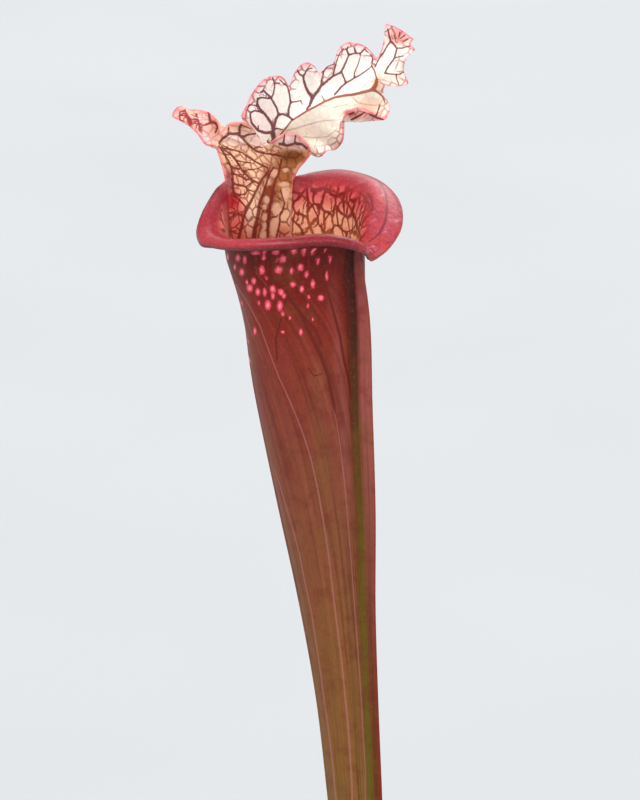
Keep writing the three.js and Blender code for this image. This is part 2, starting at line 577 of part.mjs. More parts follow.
function tallLeafSocket() {
  const [across, back, radius] = along(TUBE, TUBE_ROWS[0]);
  const low = new THREE.Vector3(across, back, TUBE_ROWS[0] - POLE_DEPTH - 2 * FIT_GAP).add(MOUTH);
  const wide = radius + 3 * FIT_GAP;
  return peg(low, TALL_LEAF_WAY, wide, wide, SOCKET_REACH, 24);
}

function youngLeafSocket(leaf) {
  const foot = new THREE.Vector3(leaf.across, leaf.back, RHIZOME.z - FIT_GAP);
  const wide = LEAF_FOOT_RADIUS + FIT_GAP;
  return peg(foot, leafWay(leaf, 0), wide, wide, SOCKET_REACH, 12);
}

// The direction of a young leaf at a share of its length: it leans out and bends further.
function leafWay(leaf, share) {
  const tilt = THREE.MathUtils.degToRad(leaf.lean + leaf.bend * share * share);
  const turn = THREE.MathUtils.degToRad(leaf.heading);
  return new THREE.Vector3(Math.sin(tilt) * Math.cos(turn), Math.sin(tilt) * Math.sin(turn), Math.cos(tilt));
}

// A young leaf as rings along its bending middle line. The section at each share of the length has a
// half width and a half thickness.
function youngLeafGeometry(leaf, sides, section) {
  const points = [];
  const faces = [];
  const rows = YOUNG_LEAF_ROWS;
  const middle = new THREE.Vector3(leaf.across, leaf.back, RHIZOME.z);
  const turn = THREE.MathUtils.degToRad(leaf.heading);
  const broad = new THREE.Vector3(-Math.sin(turn), Math.cos(turn), 0);
  for (let i = 0; i <= rows; i += 1) {
    const share = i / rows;
    const way = leafWay(leaf, share);
    const deep = broad.clone().cross(way).normalize();
    const [wide, thick] = along(section, share);
    for (let j = 0; j < sides; j += 1) {
      const angle = (2 * Math.PI * j) / sides;
      points.push(middle.clone().addScaledVector(broad, wide * Math.cos(angle))
        .addScaledVector(deep, thick * Math.sin(angle)));
    }
    middle.addScaledVector(way, leaf.height / rows);
  }
  const foot = points.push(new THREE.Vector3(leaf.across, leaf.back, RHIZOME.z)) - 1;
  const tip = points.push(middle.addScaledVector(leafWay(leaf, 1), -leaf.height / rows / 2)) - 1;
  for (let j = 0; j < sides; j += 1) {
    const next = (j + 1) % sides;
    for (let i = 0; i < rows; i += 1) {
      const a = i * sides;
      faces.push(a + j, a + sides + j, a + next, a + next, a + sides + j, a + sides + next);
    }
    faces.push(foot, j, next, tip, rows * sides + next, rows * sides + j);
  }
  return upright(meshOf(points, faces));
}

// Turns a closed mesh right side out if its faces point inwards.
function upright(geometry) {
  const place = geometry.attributes.position;
  const index = geometry.index.array;
  const corner = (n) => new THREE.Vector3().fromBufferAttribute(place, index[n]);
  let volume = 0;
  for (let n = 0; n < index.length; n += 3) volume += corner(n).dot(corner(n + 1).cross(corner(n + 2)));
  if (volume < 0) index.reverse();
  return geometry;
}

function named(name, geometry, colour, roughness) {
  const look = { color: colour, roughness, metalness: 0, flatShading: true };
  const mesh = new THREE.Mesh(geometry, new THREE.MeshStandardMaterial(look));
  mesh.name = name;
  return mesh;
}

const plant = new THREE.Group();
plant.add(named('pot', potGeometry(), 0x2b2c2b, 0.55));
plant.add(named('growing_medium', mediumGeometry(), 0x4a3a28, 0.95));
plant.add(named('rhizome', rhizomeGeometry(), 0x6b4a30, 0.85));
const pitcher = named('pitcher', pitcherGeometry(), 0x8a3a30, 0.5);
pitcher.position.copy(MOUTH);
plant.add(pitcher);
const youngPitcher = youngLeafGeometry(YOUNG_PITCHER, BEAK_SIDES, BEAK_SECTION);
plant.add(named('young_pitcher', youngPitcher, 0x7d8a45, 0.5));
SWORD_LEAVES.forEach((leaf, i) => {
  const blade = youngLeafGeometry(leaf, BLADE_SIDES, BLADE_SECTION);
  plant.add(named(`sword_leaf_${i + 1}`, blade, 0x6f8a3c, 0.55));
});

export default plant;
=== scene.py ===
"""A potted pitcher plant: the finished surfaces of the tall leaf, the young leaves, rhizome, medium and pot.

Lengths in the tables are millimetres; heights of the tall leaf are measured from the middle of its mouth.
"""
import math
from types import SimpleNamespace

import bmesh
import bpy
import numpy as np
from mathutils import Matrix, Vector


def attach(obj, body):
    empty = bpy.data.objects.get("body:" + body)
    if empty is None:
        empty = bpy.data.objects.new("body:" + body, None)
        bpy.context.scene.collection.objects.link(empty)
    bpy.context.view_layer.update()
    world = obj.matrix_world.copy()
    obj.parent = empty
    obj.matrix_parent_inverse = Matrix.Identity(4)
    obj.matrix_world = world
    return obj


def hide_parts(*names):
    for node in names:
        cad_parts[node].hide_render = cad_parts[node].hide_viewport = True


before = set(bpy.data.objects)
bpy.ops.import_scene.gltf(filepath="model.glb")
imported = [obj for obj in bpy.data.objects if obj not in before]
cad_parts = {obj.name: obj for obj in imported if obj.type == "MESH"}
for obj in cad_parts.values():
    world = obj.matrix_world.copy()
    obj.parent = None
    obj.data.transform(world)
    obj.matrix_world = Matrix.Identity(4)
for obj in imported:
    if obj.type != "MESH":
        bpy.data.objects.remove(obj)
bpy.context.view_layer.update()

MM = 0.001

# The tall leaf, as in the part's source: where its mouth is and which way its wing and spout face.
MOUTH = np.array([-27.0, 20.0, 478.0])
FRONT_TURN = math.radians(55)
TUBE_WALL = 1.2
HOOD_THICKNESS = 0.7
THIN_FROM = 0.2
NECK_HEIGHT = -17.0
POLE_DEPTH = 1.5
PIT_DEPTH = 4.5

# Wing: its places from flank to flank, of which those up to the nose turn round its edge.
WING_PLACES = [-1, -0.8, -0.6, -0.4, -0.25, -0.12, 0, 0.12, 0.25, 0.4, 0.6, 0.8, 1]
WING_NOSE = 0.25
# Half its thickness: at most this at the foot, or this share of the tube's radius, and this at the edge.
WING_BASE, WING_SHARE, WING_EDGE = 1.7, 0.24, 0.5
# How far its nose bulges where the wing is wider than the second length.
WING_ROUND, WING_SHOWS = 0.3, 0.4
# Degrees at the mouth: across half the nose, along a flank, and to the first plain column; then inside.
NOSE_TURN, FLANK_TURN, WING_CLEAR = 1.5, 2.9, 8.0
BEHIND_WING = 3.6
# How far the wing pushes the lip outwards, by the step up its rings.
WING_END = [[0, 3.8], [0.2, 3.4], [0.38, 2.2], [0.5, 0], [1, 0]]

# Ribs: angle at the mouth, height, width and how it grows with the radius; between these depths they rise.
RIBS = [-88, 88, 137, 170, 188.5, 206, 217]
RIB_HEIGHT = 0.6
RIB_WIDTH, RIB_WIDENING = 0.55, 0.02
RIB_FADE = (22, 55)

# Tube: height, middle across, middle back, radius, width of the wing.
TUBE = [
    [-375, 32.2, -22.0, 6.2, 0.2], [-368, 31.4, -21.4, 5.5, 0.3], [-355, 29.8, -20.2, 4.8, 0.7],
    [-320, 26.0, -17.5, 5.2, 1.6], [-270, 22.3, -15.0, 6.0, 2.8], [-198, 17.8, -12.0, 7.8, 3.9],
    [-164, 15.4, -10.3, 9.2, 3.7], [-131, 12.0, -8.1, 11.5, 4.3], [-98, 8.3, -5.5, 14.7, 5.5],
    [-64, 4.3, -3.0, 17.5, 6.3], [-27, 0.9, -0.6, 20.9, 5.1], [-17, -0.7, 0.0, 22.4, 3.8],
]
TUBE_FOOT = -375
HOLLOW_FOOT = -300.0
VEIN_SPREAD = [[-131, 0], [-98, 0.06], [-78, 0.12], [-62, 0.2], [-44, 0.42], [-27, 0.72], [-17, 1]]
SPREAD_POWER = 3.3

# Lip: angle, then radius and height of the throat edge, crest, outermost line and tucked edge.
COLUMN_LEFT = 147.0
COLUMN_RIGHT = -130.0
COLUMN_SPAN = 360 + COLUMN_RIGHT - COLUMN_LEFT
LIP = [
    [-130, 20.6, -2, 20.4, 1, 20.2, 3, 19.8, 4], [-123, 21.4, -0.8, 22.4, 2, 23.6, 3.6, 24.4, 4],
    [-115, 22.2, 0, 25.6, 3.4, 28, 4, 29, 3], [-105, 22.5, 0.5, 28.4, 4.6, 32, 3.6, 31.8, 1.2],
    [-80, 22.4, 0.8, 28.8, 5.2, 33.6, 3.4, 32.8, 0.6],
    [-58, 22.2, 0, 28.8, 4.2, 33.8, 1.6, 33, -1.2], [-38, 22.2, -2, 29, 1.2, 34, -1.6, 33, -4.2],
    [-20, 22.8, -6, 29, -3.8, 33.8, -6, 32.6, -8.4], [-7, 23.2, -9.5, 28.8, -8.6, 32, -10, 30.8, -11.6],
    [0, 23.2, -10.2, 28.4, -10.2, 29.8, -11.8, 29, -13], [7, 23.2, -9, 28.6, -7.2, 30.6, -8.8, 30, -10.2],
    [20, 23.4, -6.6, 29.2, -4, 31.2, -5.4, 30.4, -7], [37, 23.6, -4.8, 29, -1.7, 31.2, -3, 30.4, -4.6],
    [60, 24, -5, 28.8, -2.4, 31, -3.8, 30.2, -5.4], [85, 24.2, -6.5, 28.8, -4, 30.8, -5.4, 30, -6.8],
    [110, 24.6, -7.5, 29.6, -5.6, 32, -7, 31.2, -8.4], [125, 24.8, -6.5, 29.8, -4.6, 32.6, -6.6, 32.6, -8.6],
    [133, 24.6, -4.6, 28.6, -2.2, 31.4, -3.2, 32.2, -5], [140, 24.3, -2.2, 26.4, 1, 28, 2, 29, 1.6],
    [147, 24, 0, 24, 4, 23.8, 7, 23.4, 9],
]
LIP_STATIONS = np.array([0, 0.38, 0.62, 0.84, 1])
LIP_EASE = 0.4
COLUMN_RISE = [[0, 0], [0.38, 0.68], [0.62, 0.83], [0.84, 0.935], [1, 1]]

# Column and hood, in a frame that leans back a little: place along the leaf, across, up, back.
HOOD_LEAN = math.radians(15)
LEFT_EDGE = [
    [0, -23, 9, -1], [0.04, -24, 13, -1.5], [0.08, -25, 16.5, -2.5], [0.11, -26.5, 20, -4.5],
    [0.135, -29.5, 20.5, -7], [0.16, -32, 24, -8], [0.18, -36, 27.5, -7.5], [0.2, -40, 29.5, -6],
    [0.222, -37.5, 32.8, -4], [0.235, -35.2, 31.6, -3], [0.25, -32, 31.5, -2], [0.265, -28.5, 30.5, -1],
    [0.28, -25.5, 27.5, 0], [0.295, -25.5, 24, -1], [0.31, -24.5, 24.5, -1], [0.33, -22, 27, -0.5],
    [0.35, -18.5, 27.5, 0.5], [0.37, -16, 27, 3.5], [0.39, -13.5, 24.5, 8], [0.41, -16, 26.5, 9],
    [0.43, -18, 29, 6], [0.46, -16.5, 32.5, 3], [0.49, -15, 36, 2], [0.52, -11.5, 40.5, 1],
    [0.55, -7.5, 42.5, 1], [0.575, -4.5, 42, 5], [0.6, -2.5, 39.5, 8.5], [0.615, -1.5, 42.5, 6],
    [0.635, 0.5, 45.5, 1], [0.66, 3.5, 46.5, -1], [0.68, 5.5, 45.5, 3], [0.7, 7, 43.5, 5.5],
    [0.72, 9.5, 45.5, 2], [0.74, 11.5, 46.5, -1], [0.765, 13, 50.5, -5], [0.785, 15, 52.5, -7],
    [0.82, 18.5, 52.5, -8], [0.86, 22.5, 51, -8], [0.89, 25.5, 48, -7], [0.915, 27, 50.5, -9],
    [0.94, 28, 55, -12], [0.965, 28, 58, -13], [1, 30.5, 58, -12],
]
RIGHT_EDGE = [
    [0, -1.5, 9, 18], [0.05, 0, 12.5, 17], [0.11, 2.5, 15.5, 15.5], [0.19, 4, 19, 14], [0.23, 2, 22, 11],
    [0.28, -0.5, 23.5, 9], [0.32, -4, 24, 8.5], [0.36, -6.5, 22.5, 9], [0.39, -9, 20.5, 13.8],
    [0.41, -7.4, 20, 16.6], [0.44, -2.5, 20, 18.5], [0.47, 2, 18.5, 19.5], [0.5, 7, 16.5, 18.5],
    [0.53, 9.5, 18.5, 17], [0.56, 12.5, 19, 15], [0.59, 14.5, 21.5, 10.5], [0.62, 14.8, 25, 4.5],
    [0.65, 15, 29, 0.5], [0.68, 17.5, 31.5, -2], [0.71, 20.5, 32, -3.5], [0.75, 23.5, 30.5, -3.5],
    [0.79, 26.5, 28.5, -1], [0.83, 29, 29.5, 3], [0.86, 29.5, 33, 4], [0.885, 27.5, 37, 1],
    [0.9, 28, 38.8, -2], [0.92, 33, 39, -3.4], [0.935, 35.5, 40, -4], [0.95, 34, 44, -6],
    [0.965, 35, 48, -8], [0.977, 37.5, 50.5, -8], [0.987, 36, 52, -9], [1, 37, 54, -9],
]
MIDRIB = [
    [0, -12, 7, 18], [0.08, -9.5, 12, 18.5], [0.16, -8, 15.5, 18], [0.25, -8.5, 17, 17],
    [0.33, -10, 18.5, 16.2], [0.37, -10.5, 19.5, 15.9], [0.4, -10.8, 21, 15.5], [0.46, -8.6, 24.2, 15],
    [0.52, -4, 26.5, 13], [0.58, 0.5, 30, 11], [0.66, 7, 33.5, 7], [0.74, 13.5, 36, 3],
    [0.82, 19.5, 37, -1], [0.88, 24, 38.5, -4], [0.92, 25.5, 43, -6], [0.96, 28.5, 48.5, -8],
    [1, 33.5, 56.5, -10],
]
LEFT_CALM = [
    [0, -23, 9, -1], [0.1, -25.5, 18.5, -2], [0.2, -26.5, 24, -3], [0.3, -23, 25, -0.5],
    [0.4, -14.5, 25, 7.5], [0.46, -15, 31, 4], [0.55, -8.5, 39.5, 2], [0.66, 4, 44, 1],
    [0.78, 14.5, 49, -5], [0.89, 24.5, 48, -8], [1, 30.5, 58, -12],
]
RIGHT_CALM = [
    [0, -1.5, 9, 18], [0.1, 2, 15, 16], [0.2, 2, 20, 13], [0.3, -2.5, 22.5, 9.5], [0.36, -6, 22.5, 10],
    [0.39, -8.6, 20.8, 13.8], [0.44, -3, 20, 18], [0.52, 8, 19, 18], [0.6, 13.5, 21.5, 12],
    [0.65, 17.5, 21, 8], [0.7, 20.8, 18.5, 6], [0.75, 23.5, 18.5, 4.5], [0.8, 26.5, 24, 4.5],
    [0.85, 28.5, 30.5, 4], [0.89, 28.5, 37, 0], [0.95, 33.5, 43.5, -6], [1, 37, 54, -9],
]
LEFT_BELLY = [[0, -3.2, 0, 1.5], [0.2, -2, -0.5, 2], [0.4, 0, 0, 1], [0.5, 0, -1, 2.5], [1, 0, 0, 0]]
RIGHT_BELLY = [
    [0, 1, 0, 2.2], [0.2, 1, -1, 3], [0.32, 0.5, -0.5, 0.5], [0.4, 0, 0, 0], [0.5, 0, 0, 2.5],
    [0.62, 0, 0, 1], [1, 0, 0, 0],
]
RUFFLE_POWER = 3
RIPPLE_DEPTH, RIPPLES, RIPPLE_START = 1.6, 13, (0.12, 0.3)

# How finely the tall leaf is divided.
RIGHT_COLUMNS = 58
LEFT_COLUMNS = 64
BLADE_HALF = 55
LIP_RINGS = 36
WINDOW_RINGS = 56
WINDOW_FOOT = -52.0
TUBE_RINGS = 48
HOLLOW_RINGS = 24
HOOD_ROWS = 206
FINE_PLACES = 4001
EVENING_ROUNDS, EVENING = 80, 0.25

# The picture plane: where the mouth's middle shows, how large a millimetre is, and how far the eye is.
VIEW_TILT = math.radians(15)
PICTURE_MOUTH = (298.0, 208.0)
PICTURE_SCALE = 3.1
PICTURE_REACH = 1500.0
PICTURE_SIZE = (640, 800)
SENSOR_WIDTH = 36
FLOOR_REACH = 30.0

ATTRIBUTE_KINDS = {(): ("FLOAT", "value"), (3,): ("FLOAT_VECTOR", "vector"), (4,): ("FLOAT_COLOR", "color")}


def smooth(value, low, high):
    """Rises from 0 at low to 1 at high as three t squared minus two t cubed."""
    t = np.clip((value - low) / (high - low), 0, 1)
    return t * t * (3 - 2 * t)


def through(knots, values, place):
    """A cubic through the values at the knots; each slope weighs the two neighbouring secants by span."""
    knots = np.asarray(knots, float)
    values = np.asarray(values, float)
    tail = (1,) * (values.ndim - 1)
    span = np.diff(knots).reshape(-1, *tail)
    secant = np.diff(values, axis=0) / span
    slope = np.empty_like(values)
    slope[0], slope[-1] = secant[0], secant[-1]
    slope[1:-1] = (span[1:] * secant[:-1] + span[:-1] * secant[1:]) / (span[1:] + span[:-1])
    place = np.clip(np.asarray(place, float), knots[0], knots[-1])
    i = np.clip(np.searchsorted(knots, place, side="right") - 1, 0, len(knots) - 2)
    h = span[i]
    t = (place - knots[i]).reshape(*place.shape, *tail) / h
    rise, fall = t * t * (3 - 2 * t), (1 - t) * (1 - t) * (1 + 2 * t)
    return (fall * values[i] + rise * values[i + 1]
            + t * (1 - t) ** 2 * h * slope[i] - t * t * (1 - t) * h * slope[i + 1])


def along(rows, place):
    """The same cubic through a table's rows of place and values."""
    table = np.asarray(rows, float)
    return through(table[:, 0], table[:, 1:], place)


def unit(vectors):
    """Vectors divided by their own length."""
    return vectors / np.maximum(np.linalg.norm(vectors, axis=-1, keepdims=True), 1e-12)


FORWARD = np.array([math.sin(FRONT_TURN), -math.cos(FRONT_TURN), 0])
SIDEWAYS = np.array([-math.cos(FRONT_TURN), -math.sin(FRONT_TURN), 0])
UPWARDS = np.array([0, 0, 1.0])


def heading(degrees):
    """The level direction at an angle from the spout: cosine times forward plus sine times sideways."""
    angle = np.radians(degrees)[..., None]
    return np.cos(angle) * FORWARD + np.sin(angle) * SIDEWAYS


def drawn_forward(angle):
    """The angle near the root, from the angle at the mouth: a power of its share of the half turn."""
    return 180 * (1 - (1 - angle / 180) ** (1 / SPREAD_POWER))


def root_angle(top):
    """The angle near the root for each angle at the mouth; behind the column the veins are evenly spaced."""
    inside = np.sign(top) * drawn_forward(np.minimum(np.abs(top), 180))
    left, right = drawn_forward(COLUMN_LEFT), drawn_forward(-COLUMN_RIGHT)
    behind = left + (360 - right - left) * (top - COLUMN_LEFT) / COLUMN_SPAN
    return np.where(top > COLUMN_LEFT, behind, inside)


def wing_foot(radius):
    """Half the wing's thickness where it leaves the tube."""
    return np.minimum(WING_BASE, WING_SHARE * radius)


def column_angle(top, height, radius):
    """Where veins lie at each height: between root and mouth angle by the spread, squeezed off the wing."""
    foot = np.degrees(np.arcsin(wing_foot(radius) / radius))[:, None]
    spread = along(VEIN_SPREAD, height)
    root = root_angle(top)[None, :]
    plain = root + (top[None, :] - root) * spread
    past = np.where(plain > 180, plain - 360, plain)
    return np.sign(past) * (foot + np.abs(past) * (1 - foot / 180))


def rib_rise(top, height, radius):
    """Each rib stands as a bell curve of the distance round the tube from its line, fading at the neck."""
    here = column_angle(top, height, radius)
    ribs = column_angle(np.array(RIBS, float), height, radius)
    apart = (here[:, :, None] - ribs[:, None, :] + 180) % 360 - 180
    distance = np.radians(np.abs(apart)) * radius[:, None, None]
    width = (RIB_WIDTH + RIB_WIDENING * radius)[:, None, None]
    bell = np.exp(-(distance / width) ** 2).max(axis=2)
    return RIB_HEIGHT * smooth(-height, *RIB_FADE)[:, None] * bell


def leaf_columns():
    """The columns once round the leaf.

    Each has its angle at the mouth (top), its place on the wing from -1 to 1 and how far out that is (flank),
    its side on the hood from -1 to 1, and whether it runs up the rear, where the column is."""
    wing_places = np.array(WING_PLACES, float)
    off = np.abs(wing_places)
    flank_turn = NOSE_TURN + (off - WING_NOSE) / (1 - WING_NOSE) * FLANK_TURN
    wing_top = np.sign(wing_places) * np.where(off < WING_NOSE, off / WING_NOSE * NOSE_TURN, flank_turn)
    right = np.linspace(COLUMN_RIGHT, -WING_CLEAR, RIGHT_COLUMNS + 1)
    left = np.linspace(WING_CLEAR, COLUMN_LEFT, LEFT_COLUMNS + 1)
    arc = np.linspace(0, 1, 2 * BLADE_HALF + 1)[1:-1]
    top = np.concatenate([right, wing_top, left, COLUMN_LEFT + COLUMN_SPAN * arc])
    on_wing = np.zeros(len(top), bool)
    on_wing[len(right):len(right) + len(wing_top)] = True
    wing = np.zeros(len(top))
    wing[on_wing] = wing_places
    flank = np.where(on_wing, np.clip((1 - np.abs(wing)) / (1 - WING_NOSE), 0, 1), 0)
    lip_count = len(top) - len(arc)
    side = np.zeros(len(top))
    side[lip_count - 1:] = -1 + np.arange(len(arc) + 1) / BLADE_HALF
    side[0] = 1
    rear = np.arange(len(top)) >= lip_count - 1
    rear[0] = True
    return SimpleNamespace(top=top, wing=wing, on_wing=on_wing, flank=flank, side=side, rear=rear,
                           lip_count=lip_count)


def tube_rows(heights):
    """At each height the point on the tube's middle line, the tube's radius and the width of its wing."""
    across, back, radius, wing = along(TUBE, heights).T
    return np.stack([across, back, heights], axis=1)[:, None, :], radius, wing


def tube_outside(columns, heights):
    """Outside of the tube: middle line plus radius and rib along each heading; the wing is a thin fin."""
    middle, radius, wing = tube_rows(heights)
    reach = radius[:, None] + rib_rise(columns.top, heights, radius)
    plain = middle + reach[..., None] * heading(column_angle(columns.top, heights, radius))
    foot = wing_foot(radius)[:, None]
    edge = np.minimum(WING_EDGE, foot)
    base = np.sqrt(radius[:, None] ** 2 - foot ** 2)
    nose = np.clip(np.abs(columns.wing) / WING_NOSE, 0, 1)
    bulge = WING_ROUND * np.sqrt(1 - nose ** 2) * (wing > WING_SHOWS)[:, None]
    out = base + (radius + wing)[:, None] * columns.flank - base * columns.flank + bulge
    aside = (foot + (edge - foot) * columns.flank) * nose * np.sign(columns.wing)
    fin = middle + out[..., None] * FORWARD + aside[..., None] * SIDEWAYS
    return np.where(columns.on_wing[:, None], fin, plain)


def tube_inside(columns, heights):
    """Inside of the tube: the radius less the wall, with the wing's columns gathered behind it."""
    middle, radius, _ = tube_rows(heights)
    angle = column_angle(columns.top, heights, radius)
    angle = np.where(columns.on_wing, columns.wing * BEHIND_WING, angle)
    return middle + (radius[:, None, None] - TUBE_WALL) * heading(angle)


def tube_pole(height, depth):
    """The point on the tube's middle line at a height, lowered by a depth."""
    across, back = along(TUBE, np.array([height]))[0, :2]
    return np.array([across, back, height - depth])


def lean_back(leaned):
    """Turns across, up and back of the leaning frame into the upright one."""
    across, up, back = leaned[..., 0], leaned[..., 1], leaned[..., 2]
    c, s = math.cos(HOOD_LEAN), math.sin(HOOD_LEAN)
    return np.stack([across, back * c + up * s, up * c - back * s], axis=-1)


def hood_point(place, side):
    """Middle surface of the hood: midrib to calm margin by the reach, a belly, and ruffles by its cube."""
    reach = np.abs(side)[None, :, None]
    left = (side < 0)[None, :, None]

    def both(left_rows, right_rows):
        """The first table's values on the left and the second's on the right."""
        return np.where(left, along(left_rows, place)[:, None, :], along(right_rows, place)[:, None, :])

    mid = along(MIDRIB, place)[:, None, :]
    calm = both(LEFT_CALM, RIGHT_CALM)
    belly = both(LEFT_BELLY, RIGHT_BELLY)
    ripple = RIPPLE_DEPTH * smooth(place, *RIPPLE_START) * np.sin(2 * np.pi * RIPPLES * place)
    edge = both(LEFT_EDGE, RIGHT_EDGE) + ripple[:, None, None] * np.array([0, 0, 1.0])
    return lean_back(mid + (calm - mid) * reach + belly * 4 * reach * (1 - reach)
                     + (edge - calm) * reach ** RUFFLE_POWER)


def neck_ring(columns):
    """The middle line at the neck, each column's angle just below it, and the middle of the wall round it."""
    middle, radius, _ = tube_rows(np.array([NECK_HEIGHT]))
    below = column_angle(columns.top, np.array([NECK_HEIGHT]), radius)[0]
    angle = np.where(columns.on_wing, columns.top, below)
    return middle[0, 0], angle, middle[0, 0] + (radius - TUBE_WALL / 2) * heading(angle)


def ring_points(columns, steps):
    """Middle surface from neck to lip edge: the lip's rolled section, and the column rising to the hood.

    Between neck and lip each column's angle eases from its place below the neck to its own."""
    middle, below, neck = neck_ring(columns)
    angle = below + (columns.top - below) * smooth(steps, 0, LIP_EASE)[:, None]
    rows = along(LIP, columns.top)
    reach = np.concatenate([[np.linalg.norm((neck - middle)[:, :2], axis=1)], rows[:, 0::2].T])
    height = np.concatenate([np.full((1, len(rows)), NECK_HEIGHT), rows[:, 1::2].T])
    section = through(LIP_STATIONS, np.stack([reach, height], axis=-1), steps)
    lip = middle * [1, 1, 0] + section[..., :1] * heading(angle) + section[..., 1:] * UPWARDS
    foot = hood_point(np.array([0.0]), columns.side)[0]
    column = neck + (foot - neck) * along(COLUMN_RISE, steps)[:, None, :]
    return np.where(columns.rear[:, None], column, lip)


def hood_places():
    """Places along the hood, evenly spaced by the mean length of the margins and the midrib."""
    fine = np.linspace(0, 1, FINE_PLACES)
    lines = hood_point(fine, np.array([-1.0, -0.5, 0.0, 0.5, 1.0]))
    step = np.linalg.norm(np.diff(lines, axis=0), axis=2).mean(axis=1)
    length = np.concatenate([[0], np.cumsum(step)])
    return np.interp(np.linspace(0, length[-1], HOOD_ROWS + 1)[1:], length, fine)


def numbered(grid, start=0):
    """Point numbers of a grid of points, row by row from start."""
    return start + np.arange(grid.shape[0] * grid.shape[1]).reshape(grid.shape[:2])


def closed(index):
    """A grid of point numbers whose rows end where they start."""
    return np.concatenate([index, index[:, :1]], axis=1)


def quads_of(index):
    """Four corners of each cell of a grid of point numbers."""
    return np.stack([index[:-1, :-1], index[:-1, 1:], index[1:, 1:], index[1:, :-1]], axis=-1).reshape(-1, 4)


def rings_closed(rings, start=0):
    """Cells round and between rings of points, numbered from start."""
    return quads_of(closed(numbered(rings, start)))


def fan(ring, pole, flip=False):
    """Triangles from a closed ring of numbers to one pole."""
    a, b = (np.roll(ring, -1), ring) if flip else (ring, np.roll(ring, -1))
    return np.stack([a, b, np.full(len(ring), pole)], axis=1)


def gather(numbers, values, count):
    """Sums rows of values by point number."""
    return np.stack([np.bincount(numbers, values[:, k], count) for k in range(3)], axis=1)


def middle_normals(points, quads):
    """Each point's normal is the sum of its cells' crossed diagonals, then averaged with its neighbours."""
    crossed = np.cross(points[quads[:, 2]] - points[quads[:, 0]], points[quads[:, 3]] - points[quads[:, 1]])
    normals = unit(gather(quads.ravel(), np.repeat(crossed, 4, axis=0), len(points)))
    start = quads.ravel()
    end = np.roll(quads, -1, axis=1).ravel()
    pairs = np.concatenate([np.stack([start, end], 1), np.stack([end, start], 1)])
    for _ in range(EVENING_ROUNDS):
        normals = unit(normals + EVENING * gather(pairs[:, 0], normals[pairs[:, 1]], len(points)))
    return normals


def two_faces(columns, steps, middle, quads):
    """Outer and inner face: the middle moved by half the wall along its normal.

    The neck's ring is the tube's own, and the wing runs out on the outer face."""
    count = len(columns.top)
    rings = len(steps) * count
    thinning = smooth(steps, THIN_FROM, 1)[:, None] * (columns.side != 0)
    half = np.full(len(middle), HOOD_THICKNESS / 2)
    half[:rings] = (TUBE_WALL + (HOOD_THICKNESS - TUBE_WALL) * thinning).ravel() / 2
    inward = middle_normals(middle, quads)
    outer = middle - inward * half[:, None]
    inner = middle + inward * half[:, None]
    outer[:count] = tube_outside(columns, np.array([NECK_HEIGHT]))[0]
    inner[:count] = tube_inside(columns, np.array([NECK_HEIGHT]))[0]
    push = along(WING_END, steps)[1:] * columns.flank
    outer[count:rings] += (push[..., None] * FORWARD).reshape(-1, 3)
    return outer, inner


def tall_leaf():
    """The whole leaf as one closed sheet: tube, lip, column and hood, with an outer and an inner face."""
    columns = leaf_columns()
    count, lip_count = len(columns.top), columns.lip_count
    steps = np.linspace(0, 1, LIP_RINGS + 1)
    ring = ring_points(columns, steps)
    sides = np.append(columns.side[lip_count - 1:], 1.0)
    places = hood_places()
    hood = hood_point(places, sides)
    ring_index = closed(numbered(ring))
    arc = np.append(np.arange(lip_count - 1, count), 0)
    hood_index = np.concatenate([ring_index[-1:, arc], numbered(hood, len(steps) * count)])
    quads = np.concatenate([quads_of(ring_index), quads_of(hood_index)])
    middle = np.concatenate([ring.reshape(-1, 3), hood.reshape(-1, 3)])
    outer, inner = two_faces(columns, steps, middle, quads)

    outside_rows = np.concatenate([np.linspace(NECK_HEIGHT, WINDOW_FOOT, WINDOW_RINGS + 1)[1:],
                                   np.linspace(WINDOW_FOOT, TUBE_FOOT, TUBE_RINGS + 1)[1:]])
    inside_rows = np.linspace(NECK_HEIGHT, HOLLOW_FOOT, HOLLOW_RINGS + 1)[1:]
    outside = tube_outside(columns, outside_rows)
    inside = tube_inside(columns, inside_rows)
    poles = [tube_pole(TUBE_FOOT, POLE_DEPTH), tube_pole(HOLLOW_FOOT, PIT_DEPTH)]
    points = np.concatenate([outer, inner, outside.reshape(-1, 3), inside.reshape(-1, 3), poles])

    shift = len(outer)
    inside_start = 2 * shift + len(outside_rows) * count
    outside_index = np.concatenate([ring_index[:1], closed(numbered(outside, 2 * shift))])
    inside_index = np.concatenate([ring_index[:1] + shift, closed(numbered(inside, inside_start))])
    margin = np.concatenate([
        ring_index[-1, :lip_count][::-1],
        hood_index[1:, -1],
        hood_index[-1, -2::-1],
        hood_index[-2:0:-1, 0],
    ])
    after = np.roll(margin, -1)
    faces = [
        quads[:, ::-1],
        quads + shift,
        quads_of(outside_index),
        quads_of(inside_index)[:, ::-1],
        np.stack([margin, after, after + shift, margin + shift], axis=1),
        fan(outside_index[-1, :-1], len(points) - 2),
        fan(inside_index[-1, :-1], len(points) - 1, flip=True),
    ]
    return faces, SimpleNamespace(
        points=points, columns=columns, steps=steps, places=places, sides=sides, ring=ring, hood=hood,
        shift=shift, outside_rows=outside_rows, inside_rows=inside_rows,
    )


def picture(points):
    """Where points about the mouth's middle show on the picture plane, and how far behind it they are."""
    c, s = math.cos(VIEW_TILT), math.sin(VIEW_TILT)
    up = points[:, 1] * s + points[:, 2] * c
    depth = points[:, 1] * c - points[:, 2] * s
    near = PICTURE_REACH / (PICTURE_REACH + depth)
    right = PICTURE_MOUTH[0] + PICTURE_SCALE * points[:, 0] * near
    down = PICTURE_MOUTH[1] - PICTURE_SCALE * up * near
    return np.stack([right, down], axis=1), depth


